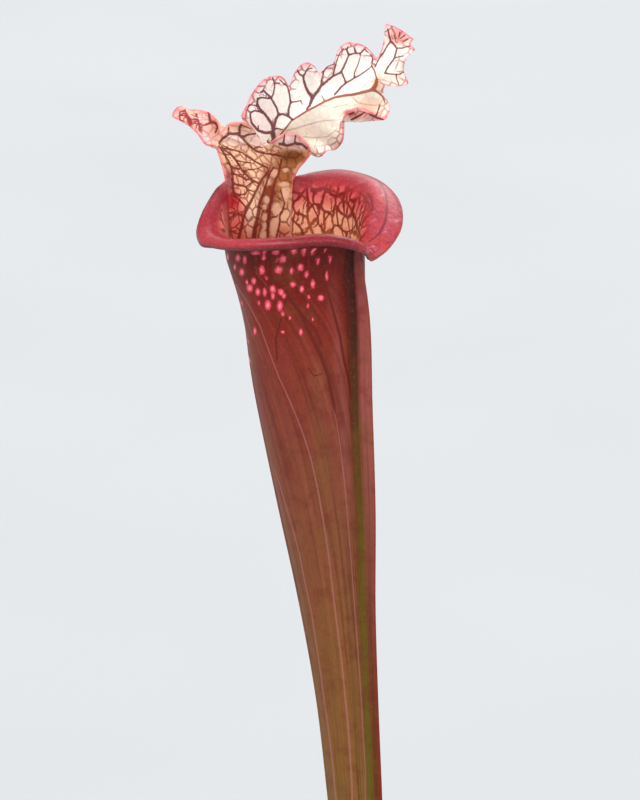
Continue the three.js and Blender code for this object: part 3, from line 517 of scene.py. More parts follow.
def placed(name, data):
    """A new object that holds the data, put into the scene."""
    thing = bpy.data.objects.new(name, data)
    bpy.context.scene.collection.objects.link(thing)
    return thing


def mesh_piece(name, points, faces, material, replaced, attributes=None):
    """A finished piece: points in millimetres, faces, material, the node it replaces, attributes."""
    mesh = bpy.data.meshes.new(name)
    corners = np.concatenate([f.ravel() for f in faces]).astype(np.int32)
    totals = np.concatenate([np.full(len(f), f.shape[1]) for f in faces]).astype(np.int32)
    mesh.vertices.add(len(points))
    mesh.vertices.foreach_set("co", (points * MM).astype(np.float32).ravel())
    mesh.loops.add(len(corners))
    mesh.loops.foreach_set("vertex_index", corners)
    mesh.polygons.add(len(totals))
    mesh.polygons.foreach_set("loop_start", np.concatenate([[0], np.cumsum(totals)[:-1]]).astype(np.int32))
    mesh.polygons.foreach_set("loop_total", totals)
    mesh.polygons.foreach_set("use_smooth", np.ones(len(totals), bool))
    mesh.update(calc_edges=True)
    mesh.validate()
    for key, values in (attributes or {}).items():
        kind, field = ATTRIBUTE_KINDS[values.shape[1:]]
        store = mesh.attributes.new(key, kind, "POINT")
        store.data.foreach_set(field, values.astype(np.float32).ravel())
    mesh.materials.append(material)
    piece = placed(name, mesh)
    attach(piece, "root")
    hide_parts(replaced)
    return piece


# Veins as read from the picture, with fold shadows painted as dark veins on column and collar:
# half width at the start and end in millimetres, then picture points.
HOOD_VEINS = [
    [1.0, 0.9, (273, 133), (274, 137)],
    [0.5, 0.3, (274, 138), (272, 143), (269, 144), (268, 141)],
    [0.6, 0.25, (274, 130), (272, 124), (268, 118), (264, 113), (260, 109), (258, 104), (258, 99),
     (262, 98), (269, 99)],
    [0.55, 0.35, (274, 130), (276, 120), (279, 115), (284, 114.5), (289, 117), (293, 120)],
    [0.4, 0.3, (279, 115), (277, 108), (273, 101), (270, 97), (266, 93), (264, 91), (261, 93)],
    [0.25, 0.15, (264, 91), (265, 87)],
    [0.3, 0.2, (272, 98), (274, 94), (275, 88), (275, 84), (273, 78)],
    [0.2, 0.15, (275, 84), (280, 84)],
    [0.4, 0.22, (289, 117), (289, 110), (291, 103), (290, 95), (288, 87), (283, 83), (280, 80)],
    [0.28, 0.15, (291, 103), (297, 102), (301, 101), (303, 105)],
    [0.6, 0.3, (273, 133), (265, 133), (259, 131), (256, 128), (252, 123), (251, 118), (251, 113)],
    [0.3, 0.3, (251, 113), (255, 111), (260, 112), (264, 114)],
    [0.25, 0.15, (259, 131), (259, 126)],
    [0.2, 0.15, (251, 114), (248, 111)],
    [0.25, 0.2, (260, 109), (256, 106), (250, 105), (248, 110)],
    [0.4, 0.2, (274, 129), (278, 129), (283, 130)],
    [0.3, 0.7, (307, 110), (310, 106), (313, 98)],
    [0.6, 0.28, (313, 98), (309, 93), (306, 87), (304, 80), (304, 77), (300, 75), (298, 71)],
    [0.28, 0.2, (304, 77), (307, 71), (310, 69), (313, 69)],
    [0.6, 0.32, (313, 98), (318, 92), (321, 87), (327, 82), (333, 77), (341, 73)],
    [0.36, 0.25, (341, 73), (344, 68), (347, 61), (349, 56), (347, 51), (348, 48)],
    [0.28, 0.15, (321, 87), (322, 80), (324, 73), (320, 71)],
    [0.2, 0.15, (324, 73), (328, 67), (334, 65)],
    [0.26, 0.15, (333, 77), (335, 70), (337, 62), (340, 54), (344, 49)],
    [0.3, 0.35, (342, 73), (345, 80), (346, 84), (341, 88), (338, 92), (335, 95)],
    [0.3, 0.2, (346, 84), (351, 81), (354, 79), (360, 76), (367, 71), (372, 67)],
    [0.22, 0.15, (354, 79), (355, 73), (358, 66), (360, 60), (361, 55)],
    [0.3, 0.2, (349, 56), (355, 54), (361, 54), (365, 50), (368, 53)],
    [0.2, 0.25, (355, 54), (355, 49)],
    [0.2, 0.2, (371, 55), (373, 60), (372, 67)],
    [0.2, 0.3, (375, 68), (379, 60), (384, 53), (388, 46), (391, 42)],
    [0.35, 0.28, (391, 42), (394, 45), (397, 49), (396, 54), (394, 60), (391, 64), (388, 68), (385, 74)],
    [0.3, 0.18, (397, 49), (403, 49), (409, 47)],
    [0.25, 0.15, (395, 59), (401, 57), (404, 57)],
    [0.25, 0.2, (385, 74), (392, 75), (399, 75), (406, 72)],
    [0.2, 0.2, (396, 75), (397, 80), (399, 85)],
    [0.35, 0.25, (391, 42), (389, 35), (388, 30)],
    [0.2, 0.15, (394, 36), (396, 40), (399, 42)],
    [0.25, 0.2, (405, 36), (400, 40)],
    [0.25, 0.2, (408, 40), (403, 43)],
    [0.2, 0.2, (400, 33), (399, 38)],
    [0.35, 0.3, (350, 115), (354, 113)],
    [0.45, 0.3, (352, 120), (360, 116), (365, 113)],
    [0.35, 0.3, (370, 115), (376, 118), (383, 120)],
    [0.3, 0.2, (380, 106), (378, 112), (376, 117)],
]
FAINT_VEINS = [
    [0.35, 0.2, (287, 131), (295, 129), (305, 126), (315, 123), (325, 121), (335, 120.5), (342, 120)],
    [0.25, 0.2, (304, 137), (312, 138), (318, 138), (328, 137), (333, 133), (338, 129)],
    [0.2, 0.2, (318, 138), (316, 144), (315, 148)],
    [0.2, 0.15, (321, 106), (328, 107)],
    [0.2, 0.15, (334, 108), (342, 106), (348, 105)],
    [0.28, 0.2, (353, 98), (358, 103), (366, 105), (375, 106), (380, 105), (383, 100)],
    [0.25, 0.2, (363, 88), (367, 84), (372, 82)],
    [0.22, 0.22, (377, 80), (385, 81), (391, 83), (396, 85)],
    [0.3, 0.2, (391, 83), (388, 87)],
]
MIDRIB_LINE = [
    [0.3, 0.4, (281, 135), (285, 130), (292, 121), (300, 116), (308, 111), (316, 107), (325, 102)],
    [0.4, 0.6, (325, 102), (335, 98), (345, 96), (354, 95), (362, 93), (370, 91), (374, 89)],
    [0.9, 0.5, (373, 90), (376, 86), (377, 80)],
    [0.3, 0.25, (372, 67), (375, 72), (377, 80)],
    [0.4, 0.25, (373, 90), (378, 93), (383, 97), (385, 103)],
    [0.25, 0.15, (325, 102), (322, 96)],
]
COLLAR_VEINS_AND_FOLD_SHADOW = [
    [0.3, 0.35, (181, 112), (180, 117), (181, 120)],
    # This very dark line is the shadow of the flap's fold, painted as a vein.
    [0.35, 0.9, (185, 110), (187, 115), (190, 120), (191, 124)],
    [0.4, 0.4, (197, 114), (198, 119), (200, 125), (200, 131)],
    [0.35, 0.5, (209, 112), (210, 118), (211, 123)],
    [0.4, 0.3, (206, 125), (211, 123), (217, 123), (218, 128), (216, 133)],
    [0.25, 0.2, (202, 127), (203, 135)],
    [0.45, 0.5, (220, 143), (223, 139), (227, 136), (230, 134), (238, 134), (243, 138)],
    [0.4, 0.3, (243, 138), (248, 135), (256, 134)],
    [0.35, 0.25, (229, 134), (229, 128)],
    [0.45, 0.4, (240, 134), (240, 128), (241, 125)],
    [0.25, 0.2, (241, 125), (246, 127), (251, 129)],
    [0.45, 0.35, (243, 138), (246, 142), (251, 147), (256, 151), (262, 153), (268, 154), (275, 155),
     (280, 156)],
    [0.3, 0.25, (253, 150), (258, 147), (263, 148)],
    [0.3, 0.3, (285, 135), (284, 143), (287, 146)],
    [0.3, 0.3, (296, 136), (295, 143), (302, 144)],
    [0.45, 0.4, (280, 144), (287, 146), (295, 144), (303, 145), (307, 149)],
]
COLUMN_VEINS_AND_FOLD_SHADOW = [
    [0.35, 0.5, (269, 171), (262, 180), (258, 188), (254, 196), (250, 204), (247, 210)],
    [0.5, 0.5, (247, 210), (244, 216), (243, 222), (241, 230), (239, 240), (238, 250)],
    [0.35, 0.5, (282, 160), (280, 168), (279, 174), (276, 180), (274, 187), (273, 195)],
    [0.55, 0.5, (273, 195), (271, 203), (270, 212), (268.5, 220), (268, 228), (268, 240), (267, 250)],
    # This line and the next are no veins: they paint the dark band of the fold's shadow.
    [0.3, 0.5, (274, 168), (271, 172), (268, 179), (266, 186), (263, 195), (260, 203)],
    [0.6, 0.9, (260, 203), (259, 212), (257.5, 220), (255, 230), (254, 240), (253, 250)],
    [0.3, 0.45, (220, 147), (224, 153), (229, 161), (232, 168), (233, 176), (233, 186), (235, 196)],
    [0.3, 0.45, (222, 147), (226, 151), (232, 155), (236, 160), (240, 166), (243, 171), (247, 175)],
    [0.45, 0.4, (247, 175), (251, 179), (256, 182), (260, 184)],
    [0.25, 0.35, (224, 146), (230, 149), (237, 151), (243, 153), (248, 157), (253, 160), (258, 163),
     (268, 168)],
    [0.2, 0.2, (225, 140), (236, 144), (238, 147), (246, 150), (252, 150)],
    [0.2, 0.25, (236, 160), (243, 162), (250, 163)],
    [0.25, 0.2, (243, 171), (250, 170), (258, 169), (262, 167)],
    [0.25, 0.2, (228, 163), (233, 167), (240, 170)],
    [0.2, 0.25, (232, 173), (238, 175), (244, 178), (247, 181)],
    [0.35, 0.3, (233, 184), (240, 185), (246, 187), (248, 190), (246, 194), (240, 195), (234, 193)],
    [0.25, 0.2, (248, 190), (256, 192)],
    [0.25, 0.2, (246, 187), (252, 183), (256, 182)],
    [0.35, 0.25, (235, 196), (241, 201), (246, 207)],
    [0.3, 0.3, (224, 211), (230, 213), (236, 213), (242, 215)],
    [0.35, 0.3, (221, 222), (228, 223), (231, 218), (236, 214)],
    [0.4, 0.45, (228, 223), (229, 230), (227, 240)],
    [0.3, 0.25, (221, 231), (228, 232), (236, 231), (241, 232)],
    [0.3, 0.35, (281, 190), (283, 198), (285, 203), (283, 210), (280, 216), (280, 224), (278, 232),
     (276, 240)],
    [0.3, 0.2, (273, 190), (278, 197), (282, 201)],
    [0.3, 0.2, (271, 217), (276, 217), (281, 213)],
]
THROAT_VEINS = [
    [0.5, 0.3, (293, 192), (298, 193), (303, 196), (308, 201), (313, 206), (315, 211)],
    [0.3, 0.2, (315, 211), (318, 216), (319, 223), (322, 228), (325, 233)],
    [0.35, 0.45, (286, 207), (288, 215), (292, 219), (297, 224), (302, 229), (303, 238)],
    [0.25, 0.2, (303, 229), (309, 228), (315, 227), (319, 224)],
    [0.3, 0.4, (322, 196), (326, 193), (330, 191), (335, 191), (339, 196), (343, 200), (347, 203)],
    [0.45, 0.4, (347, 203), (350, 207), (353, 212), (355, 218), (357, 225), (359, 231), (361, 240)],
    [0.35, 0.3, (331, 191), (331, 185)],
    [0.3, 0.25, (347, 202), (347, 192), (346, 186)],
    [0.3, 0.28, (343, 201), (340, 204), (337, 209), (333, 211), (330, 212), (328, 216), (325, 221)],
    [0.28, 0.35, (337, 210), (337, 215), (338, 221), (338, 226), (342, 230), (346, 232), (347, 240)],
    [0.3, 0.2, (346, 232), (351, 231), (355, 227), (356, 224)],
    [0.3, 0.5, (360, 192), (363, 195), (366, 200)],
    [0.4, 0.25, (366, 200), (366, 206), (364, 213), (362, 219), (360, 226)],
    [0.2, 0.15, (358, 197), (356, 203), (354, 210)],
    [0.25, 0.2, (338, 226), (333, 228), (331, 234)],
    [0.15, 0.15, (291, 197), (292, 207), (293, 215)],
    [0.15, 0.15, (287, 218), (287, 228), (289, 236)],
    [0.15, 0.15, (298, 207), (299, 216), (300, 222)],
    [0.15, 0.15, (304, 203), (303, 212), (304, 222)],
    [0.2, 0.15, (322, 200), (320, 206), (318, 212)],
    [0.2, 0.15, (331, 198), (332, 207)],
]
# Dark veins down the front of the upper tube, creases of the lip's right side drawn dark as painted shade,
# and the tube's pale ribs.
TUBE_VEINS = [
    [0.5, 0.7, (246, 254), (266, 274), (286, 294), (300, 312), (308, 330), (320, 354), (328, 376),
     (336, 416)],
    [0.4, 0.5, (312, 266), (326, 286), (332, 306), (340, 336), (344, 360), (349, 380), (353, 410)],
    [0.35, 0.3, (286, 294), (282, 316), (276, 338), (277, 360)],
    [0.35, 0.3, (300, 312), (316, 330), (322, 345)],
    [0.25, 0.2, (308, 368), (314, 376), (322, 374)],
]
LIP_CREASE_SHADOWS = [
    [0.3, 0.5, (365, 175), (379.5, 182), (385.5, 192), (387, 202), (387, 212), (385, 223), (379.5, 234)],
    [0.5, 0.35, (368, 194), (371.5, 198), (373, 209), (369.5, 214), (365, 221)],
    [0.35, 0.3, (369.5, 241.5), (376, 237), (381, 231)],
]
TUBE_RIBS = [
    [0.2, 0.38, (236, 284), (248, 303), (260, 326), (270, 354), (280, 380), (290, 401), (303, 433),
     (313, 466), (319.5, 500), (324, 527), (328, 552), (333.5, 600), (339.5, 647), (342, 667),
     (345.7, 706), (348.4, 734), (351.6, 786), (353, 860)],
    [0.14, 0.1, (238, 292), (246, 316), (254, 340)],
    [0.16, 0.4, (270, 454), (276, 474), (284, 500), (291, 524), (298, 548), (304, 580), (311, 612),
     (320, 672), (324, 703), (327.5, 727), (331.7, 760), (335, 798), (342, 860)],
    [0.16, 0.24, (332, 400), (338, 430), (343, 468), (347, 512), (350, 548), (353, 588), (357.5, 650),
     (361, 700), (362.5, 733), (365, 770), (365, 860)],
]
# The line down the column between its bright left part and its right part, browned by painted shade, as
# picture points.
COLUMN_FOLD = [
    (283, 148), (280, 156), (269, 171), (262, 180), (258, 188), (250, 204), (244, 216), (241, 230),
    (238, 250),
]

# Pale windows of the tube below the lip, and pale spots of the column's right half, browned by painted shade:
# middle, half width and half height in picture points.
WINDOWS = [
    (228, 257, 1, 3), (238, 258, 2, 3), (245, 260, 1.5, 3.6), (256, 253, 4, 1.5), (265, 252, 1.5, 2),
    (264, 258, 2, 2), (276, 252, 3, 2.5), (276, 260, 1.2, 1.2), (283, 259, 3, 3), (294, 250, 2.5, 4),
    (304, 250, 2, 4.6), (313, 252, 1.5, 3), (315, 249, 1.5, 2), (325, 250, 1, 2), (330, 259, 1.2, 3.4),
    (318, 261, 1.5, 3), (242, 272, 2, 3), (235, 267, 1, 2.4), (262, 270, 2.2, 4), (266.5, 278, 1, 1.6),
    (279, 270, 3, 3), (292, 271, 1.5, 3), (300.5, 267.5, 2.4, 3), (306.5, 274.5, 1.7, 2.8),
    (254, 281, 1.8, 3), (250, 288, 2.5, 3), (258, 292, 2, 3), (265, 292, 1.5, 3.5), (273, 289, 2.3, 3),
    (273, 296, 1.5, 3), (281, 292, 2.4, 2.5), (284, 296, 1.8, 2), (293, 284.5, 2.2, 2.4),
    (302, 289, 1.8, 3), (313, 284, 1.8, 3.5), (327, 276, 1.2, 4), (268, 305, 2.5, 4), (280, 306, 2.3, 4),
    (259, 303, 1, 2), (309, 297, 1.1, 2), (321, 298, 2.5, 2.5), (283, 314, 1.5, 2), (290, 318, 1, 1.8),
    (308, 306, 1, 2), (313, 319, 0.8, 2), (255, 331, 1.2, 3), (301, 332, 1.4, 2.8), (283, 332, 1.6, 1.3),
    (247, 282, 1, 2), (242, 304, 0.8, 2.5),
]
COLUMN_SPOTS = [
    (268, 182, 3, 3), (274, 173, 3.4, 3.4), (267, 200, 2.4, 3), (265, 207, 1.8, 2.2),
    (277, 209, 4.4, 4.4), (265, 217, 2, 2.5), (265, 226, 2, 3), (264, 235, 3, 3), (274, 228, 3, 7.5),
    (284, 184.5, 4.5, 1.8), (285.5, 194, 3.4, 5), (294, 163, 4, 1.5), (283, 160, 2.5, 3),
    (292, 151, 4, 2.5), (300, 165, 2.6, 3.6), (297, 171, 3, 2.4), (286, 170, 2.6, 1.8), (278, 219, 2, 3),
    (262, 190, 1.6, 3),
]

# Tints laid over each part, painted shade and highlight among them:
# picture place, half width and half height, strength, colour.
COLUMN_TINTS_SHADE_AND_HIGHLIGHT = [
    (262, 140, 10, 9, 0.8, 255, 228, 228), (238, 138, 20, 9, 0.95, 255, 236, 222),
    (256, 238, 46, 16, 0.75, 182, 82, 58), (236, 178, 12, 14, 0.7, 246, 176, 150),
    # These four browns right of the column's fold are painted shade on the half turned from the light.
    (304, 166, 16, 13, 0.9, 176, 110, 66), (284, 182, 15, 28, 1, 158, 96, 56),
    (292, 157, 12, 7, 0.8, 140, 82, 44), (268, 200, 8, 34, 1, 136, 66, 46),
    # The first tint here browns the lower right part as painted shade; the second is a cream strip on the
    # ridge beside the fold, a painted highlight.
    (264, 232, 12, 14, 0.8, 176, 112, 84), (249, 220, 6, 18, 0.9, 255, 222, 190),
    (234, 218, 13, 22, 0.95, 240, 118, 110), (231, 200, 9, 10, 0.95, 196, 44, 54),
    (229, 182, 5, 14, 0.9, 176, 100, 108), (286, 194, 6, 9, 0.8, 246, 206, 164),
    (302, 168, 4, 6, 0.8, 244, 176, 120), (290, 140, 18, 9, 1, 255, 240, 234),
    (303, 145, 8, 6, 0.95, 255, 236, 226),
]
COLLAR_TINTS_AND_SHADE = [
    (182, 113, 11, 10, 0.85, 255, 190, 182), (206, 120, 14, 12, 0.95, 255, 218, 210),
    # The first tint here darkens the foot of that fold: painted shade.
    (192, 122, 4, 4, 0.5, 150, 50, 48), (208, 138, 11, 8, 0.8, 252, 214, 216),
    (175, 108, 6, 6, 0.6, 226, 100, 96),
]
FLAP_TINTS_AND_SHADE = [
    # The first three tints colour the curled margin's turned-away underside: its back face, darkened further
    # with painted shade.
    (364, 116, 20, 5, 0.85, 222, 164, 150), (372, 106, 14, 9, 0.5, 230, 176, 140),
    (350, 113, 6, 3, 0.8, 200, 90, 90), (377, 85, 5, 8, 0.5, 214, 150, 100),
    (400, 37, 13, 10, 0.85, 244, 158, 146), (394, 82, 16, 6, 0.4, 246, 190, 180),
    (262, 120, 12, 12, 0.12, 250, 200, 200),
]
TUBE_TINTS = [
    (246, 315, 6, 26, 0.55, 116, 58, 60), (333, 300, 7, 30, 0.35, 146, 76, 72),
    (339, 350, 6, 40, 0.4, 150, 82, 80), (344, 410, 5, 40, 0.35, 146, 84, 78),
    (300, 330, 8, 26, 0.3, 104, 50, 30), (316, 400, 9, 40, 0.3, 116, 80, 44),
    (322, 470, 9, 40, 0.35, 112, 84, 40), (262, 370, 10, 50, 0.35, 108, 40, 38),
    (286, 360, 8, 30, 0.3, 124, 44, 44), (347, 460, 5, 50, 0.35, 152, 84, 82),
    (294, 470, 12, 40, 0.3, 112, 52, 38), (312, 560, 10, 60, 0.3, 112, 54, 34),
]

# The tube's skin, the crease by the wing in painted shade, the wing's flank and edge: height, then the colour
# there.
TUBE_TONES = [
    [-376, 94, 96, 40], [-330, 100, 100, 42], [-260, 108, 88, 36], [-190, 116, 80, 34],
    [-126, 118, 71, 38], [-94, 120, 65, 41], [-62, 119, 51, 36], [-46, 121, 45, 30], [-30, 114, 28, 16],
    [-17, 98, 17, 9], [10, 98, 17, 9],
]
CREASE_SHADE_TONES = [
    [-376, 84, 90, 30], [-180, 84, 78, 14], [-100, 84, 66, 10], [-50, 66, 34, 10], [-17, 42, 10, 8],
]
FLANK_TONES = [
    [-376, 84, 56, 10], [-190, 92, 48, 14], [-110, 118, 64, 46], [-60, 140, 72, 66], [-17, 142, 66, 64],
]
EDGE_TONES = [
    [-376, 100, 40, 14], [-280, 108, 30, 10], [-190, 116, 28, 14], [-110, 130, 56, 42],
    [-60, 142, 70, 58], [-17, 138, 62, 54],
]

# Windows on the side that doesn't show, the seed of all random draws, and millimetres round a degree of tube.
UNSEEN_WINDOWS = 150
SEED = 7
ROUND_TUBE = 0.38
# A distance beyond any vein, and the natural logarithm of two.
FAR = 99.0
HALVING = 0.693
# Half the column's width, the least margin, and the margin of points that are far from any edge.
COLUMN_HALF, LEAST_MARGIN, NO_MARGIN = 22, 0.3, 30
# The step up the rings runs from 0 to 1; the tube below and the hood above have these.
ON_TUBE, ON_HOOD = -1.0, 2.0


def nearest_vein(seen, veins):
    """Offset to the nearest point of any vein on the picture plane, and its length, both in half widths."""
    best = np.full(len(seen), FAR)
    offset = np.full((len(seen), 2), FAR)
    for start_width, end_width, *line in veins:
        knots = np.array(line, float)
        spans = np.linalg.norm(np.diff(knots, axis=0), axis=1)
        shares = np.concatenate([[0], np.cumsum(spans)]) / spans.sum()
        for a, b, low, high in zip(knots[:-1], knots[1:], shares[:-1], shares[1:]):
            t = np.clip(((seen - a) @ (b - a)) / ((b - a) @ (b - a)), 0, 1)
            way = (a + t[:, None] * (b - a) - seen) / PICTURE_SCALE
            width = start_width + (end_width - start_width) * (low + t * (high - low))
            reach = np.linalg.norm(way, axis=1) / width
            nearer = reach < best
            best = np.where(nearer, reach, best)
            offset = np.where(nearer[:, None], way / width[:, None], offset)
    return np.concatenate([offset, best[:, None]], axis=1)


def drawn(seen, *layers):
    """The nearest vein at each point, where each layer's veins are drawn on its own part only."""
    best = np.full((len(seen), 3), FAR)
    for part, veins in layers:
        found = nearest_vein(seen, veins)
        nearer = part & (found[:, 2] < best[:, 2])
        best = np.where(nearer[:, None], found, best)
    return best


def laid(ground, *coats):
    """Colours under coats: each coat moves them towards its own colour by its share at each point."""
    colours = np.asarray(ground, float)
    for share, colour in coats:
        colours = colours + np.asarray(share)[:, None] * (np.asarray(colour, float) - colours)
    return colours


def blob_reach(places, x, y, wide, high):
    """The squared distance from a blob's middle, in its half widths and half heights."""
    return ((places[:, 0] - x) / wide) ** 2 + ((places[:, 1] - y) / high) ** 2


def tinted(colours, seen, tints):
    """Each tint fades as a bell of the fourth power of the distance from its middle."""
    for *blob, strength, red, green, blue in tints:
        share = strength * np.exp(-blob_reach(seen, *blob) ** 2)
        colours = laid(colours, (share, (red, green, blue)))
    return colours


def spots(places, blobs):
    """The highest of the blobs' bells at each point, each one half at its own half width and height."""
    best = np.zeros(len(places))
    for blob in blobs:
        best = np.maximum(best, np.exp(-HALVING * blob_reach(places, *blob)))
    return best


def grown(blobs, wider, higher):
    """The same blobs with their half widths and half heights multiplied."""
    return [(x, y, wider * wide, higher * high) for x, y, wide, high in blobs]


def linear(colours):
    """Rows of display values from 0 to 255 as linear colours with full cover."""
    shares = np.clip(np.asarray(colours) / 255, 0, 1)
    light = np.where(shares <= 0.04045, shares / 12.92, ((shares + 0.055) / 1.055) ** 2.4)
    return np.concatenate([light, np.ones((len(light), 1))], axis=1)


def tone(red, green, blue):
    """One colour in display values from 0 to 255, as the linear values that a shader takes."""
    return tuple(float(value) for value in linear([(red, green, blue)])[0])


def leaf_layout(made):
    """For every point of the leaf: its angle and side, its step or place, its face and its margin."""
    columns, steps, hood = made.columns, made.steps, made.hood
    count = len(columns.top)
    below = np.concatenate([made.outside_rows, made.inside_rows])

    def spread(on_rings, on_hood, on_tube, at_poles):
        """Values for the rings and the hood, twice as there are two faces, for the tube and for its poles."""
        sheet = [np.broadcast_to(on_rings, (len(steps), count)).ravel(),
                 np.broadcast_to(on_hood, hood.shape[:2]).ravel()]
        tube = np.broadcast_to(on_tube, (len(below), count)).ravel()
        return np.concatenate([*sheet, *sheet, tube, [at_poles, at_poles]])

    across = np.cumsum(np.linalg.norm(np.diff(hood, axis=1), axis=2), axis=1)
    from_left = np.pad(across, ((0, 0), (1, 0)))
    upwards = np.linalg.norm(np.diff(hood, axis=0), axis=2)
    to_tip = np.pad(np.cumsum(upwards[::-1], axis=0)[::-1], ((0, 1), (0, 0)))
    margin = np.minimum(np.minimum(from_left, from_left[:, -1:] - from_left), to_tip)
    ring_margin = np.where(columns.rear, (1 - np.abs(columns.side)) * COLUMN_HALF + LEAST_MARGIN, NO_MARGIN)
    climb = np.cumsum(np.linalg.norm(np.diff(made.ring, axis=0), axis=2), axis=0)
    fin = np.where(columns.on_wing, 1 - np.abs(columns.wing), 0)
    sizes = [made.shift, made.shift, len(made.outside_rows) * count, len(made.inside_rows) * count, 1, 1]
    inner = np.repeat([0.0, 1, 0, 1, 0, 1], sizes)
    return SimpleNamespace(
        top=spread(columns.top, COLUMN_LEFT + COLUMN_SPAN * (made.sides + 1) / 2, columns.top, 0),
        side=spread(columns.side, made.sides, columns.side, 0),
        step=spread(steps[:, None], ON_HOOD, ON_TUBE, ON_TUBE),
        place=spread(0, made.places[:, None], 0, 0),
        margin=spread(ring_margin, margin, NO_MARGIN, NO_MARGIN),
        rear=spread(columns.rear, 1, columns.rear, 0) > 0.5,
        climb=spread(NECK_HEIGHT + np.pad(climb, ((1, 0), (0, 0))), 0, below[:, None], 0),
        fin=spread(fin * (steps[:, None] < 0.5), 0, fin, 0) * (1 - inner),
        inner=inner,
    )


def leaf_zones(leaf):
    """Adds where each point shows, how much hood, blade and lip it is, and which parts veins are drawn on."""
    leaf.seen, leaf.depth = picture(leaf.points)
    leaf.x, leaf.y = leaf.seen.T
    leaf.height = leaf.points[:, 2]
    leaf.outside = leaf.inner < 0.5
    fold = np.array(COLUMN_FOLD, float)
    leaf.left_of_fold = leaf.x < np.interp(leaf.y, fold[:, 1], fold[:, 0])
    hood = np.where(leaf.rear, smooth(leaf.step, 0.02, 0.4) + (leaf.place > 0), 0).clip(0, 1)
    leaf.hood = np.maximum(hood, leaf.rear * leaf.inner * smooth(leaf.height, -40, -12))
    leaf.blade = smooth(leaf.place, 0.36, 0.42)
    near_edge = smooth(np.abs(leaf.side), 0.84, 0.97) * smooth(leaf.step, -0.5, 0.2)
    near_edge = near_edge * (1 - smooth(leaf.step, 0.55, 1.0)) * (leaf.place == 0) * (leaf.side < 0)
    leaf.lip = np.where(leaf.rear, 0.9 * near_edge, smooth(leaf.step, 0.38, 0.54))
    across = along(TUBE, leaf.height)[:, :2]
    leaf.off_middle = leaf.points[:, :2] - across
    middle_depth = picture(np.concatenate([across, leaf.height[:, None]], axis=1))[1]
    near_half = np.where(leaf.height > -60, leaf.depth < 2, leaf.depth < middle_depth)
    on_tube = leaf.outside & (leaf.step < 0.3)
    leaf.front = on_tube & (leaf.fin < 0.05) & near_half & ~(leaf.rear & (leaf.step > 0))
    leaf.windowed = on_tube & (leaf.fin < 0.1)


def tube_colours(leaf):
    """Red-brown at the top, olive-brown towards the root, painted shade by the wing's foot, mauve on the
    wing.
    """
    angle = (leaf.top + 180) % 360 - 180
    redder = smooth(-np.abs(angle + 70), -70, 0) * smooth(leaf.height, -300, -120)
    colours = laid(along(TUBE_TONES, leaf.height), (0.3 * redder, (134, 36, 34)))
    colours = tinted(colours, leaf.seen, TUBE_TINTS)
    # Painted shade: the groove where the wing leaves the tube takes the crease's darker tones.
    foot = np.exp(-((angle - 4.5) / 4.0) ** 2) * (leaf.fin < 0.2)
    crease = along(CREASE_SHADE_TONES, leaf.height)
    flank, edge = along(FLANK_TONES, leaf.height), along(EDGE_TONES, leaf.height)
    wing = laid(flank, (smooth(leaf.fin, 0.6, 0.88), edge))
    wing = laid(crease, (smooth(leaf.fin, 0.22, 0.42), wing))
    return laid(colours, (0.92 * foot, crease), (smooth(leaf.fin, 0.0, 0.12), wing))


def near_lip(leaf):
    """How near the throat's skin is to the lip, by height or by the step up the ring."""
    return np.maximum(smooth(leaf.height, -8, 2), smooth(leaf.step, 0.24, 0.44))


def hood_colours(leaf):
    """The column is browned by painted shade right of its fold and pale left of it; cream blade, blushing
    margin.
    """
    column = tinted((255, 214, 176), leaf.seen, COLUMN_TINTS_SHADE_AND_HIGHLIGHT + COLLAR_TINTS_AND_SHADE)
    column = laid(column, (smooth(leaf.y, 205, 245) * 0.4, (186, 80, 58)))
    cream = np.where((leaf.side > 0)[:, None], (255, 251, 232), (255, 248, 238))
    blush = np.where(leaf.side > 0, 1.6, 2.2)
    return laid(column, (leaf.blade, tinted(cream, leaf.seen, FLAP_TINTS_AND_SHADE)),
                (leaf.hood * smooth(-leaf.margin, -blush, -0.3) * 0.4, (252, 160, 164)))


def lip_colours(leaf):
    """Deep red; painted highlight on the crest, near left and mauve right; painted shade at the near middle
    and below.
    """
    # Painted highlight: the lip is lightened on the crest and at the near left.
    crest = smooth(leaf.step, 0.5, 0.62) * (1 - smooth(leaf.step, 0.7, 0.85))
    left_highlight = smooth(-leaf.x, -270, -235) * smooth(leaf.y, 222, 240)
    # Painted shade: darker at the near middle, at the tucked edge and on the outer face under the roll.
    middle_shade = smooth(leaf.x, 262, 290) * smooth(-leaf.x, -364, -350) * smooth(leaf.y, 226, 238)
    return laid((144, 24, 34),
                (crest * 0.3, (168, 58, 76)),
                # At the right the lip is paler mauve: its own tint, lightened further as a painted highlight.
                (smooth(leaf.x, 358, 376) * 0.7, (170, 70, 80)),
                (left_highlight * 0.45, (186, 66, 70)),
                (middle_shade * 0.7, (112, 4, 12)),
                (smooth(leaf.step, 0.86, 0.97) * (1 - leaf.rear), (96, 8, 16)),
                ((1 - leaf.inner) * (1 - leaf.rear) * 0.75, (92, 6, 14)))


def ground_colours(leaf):
    """The skin under all veins: tube outside, throat inside, then hood and lip."""
    throat = laid((240, 178, 142),
                  (near_lip(leaf) * 0.92, (164, 36, 46)),
                  (smooth(-leaf.x, -262, -246) * 0.6, (250, 150, 136)))
    return laid(tube_colours(leaf), (leaf.inner, throat), (leaf.hood, hood_colours(leaf)),
                (leaf.lip, lip_colours(leaf)))


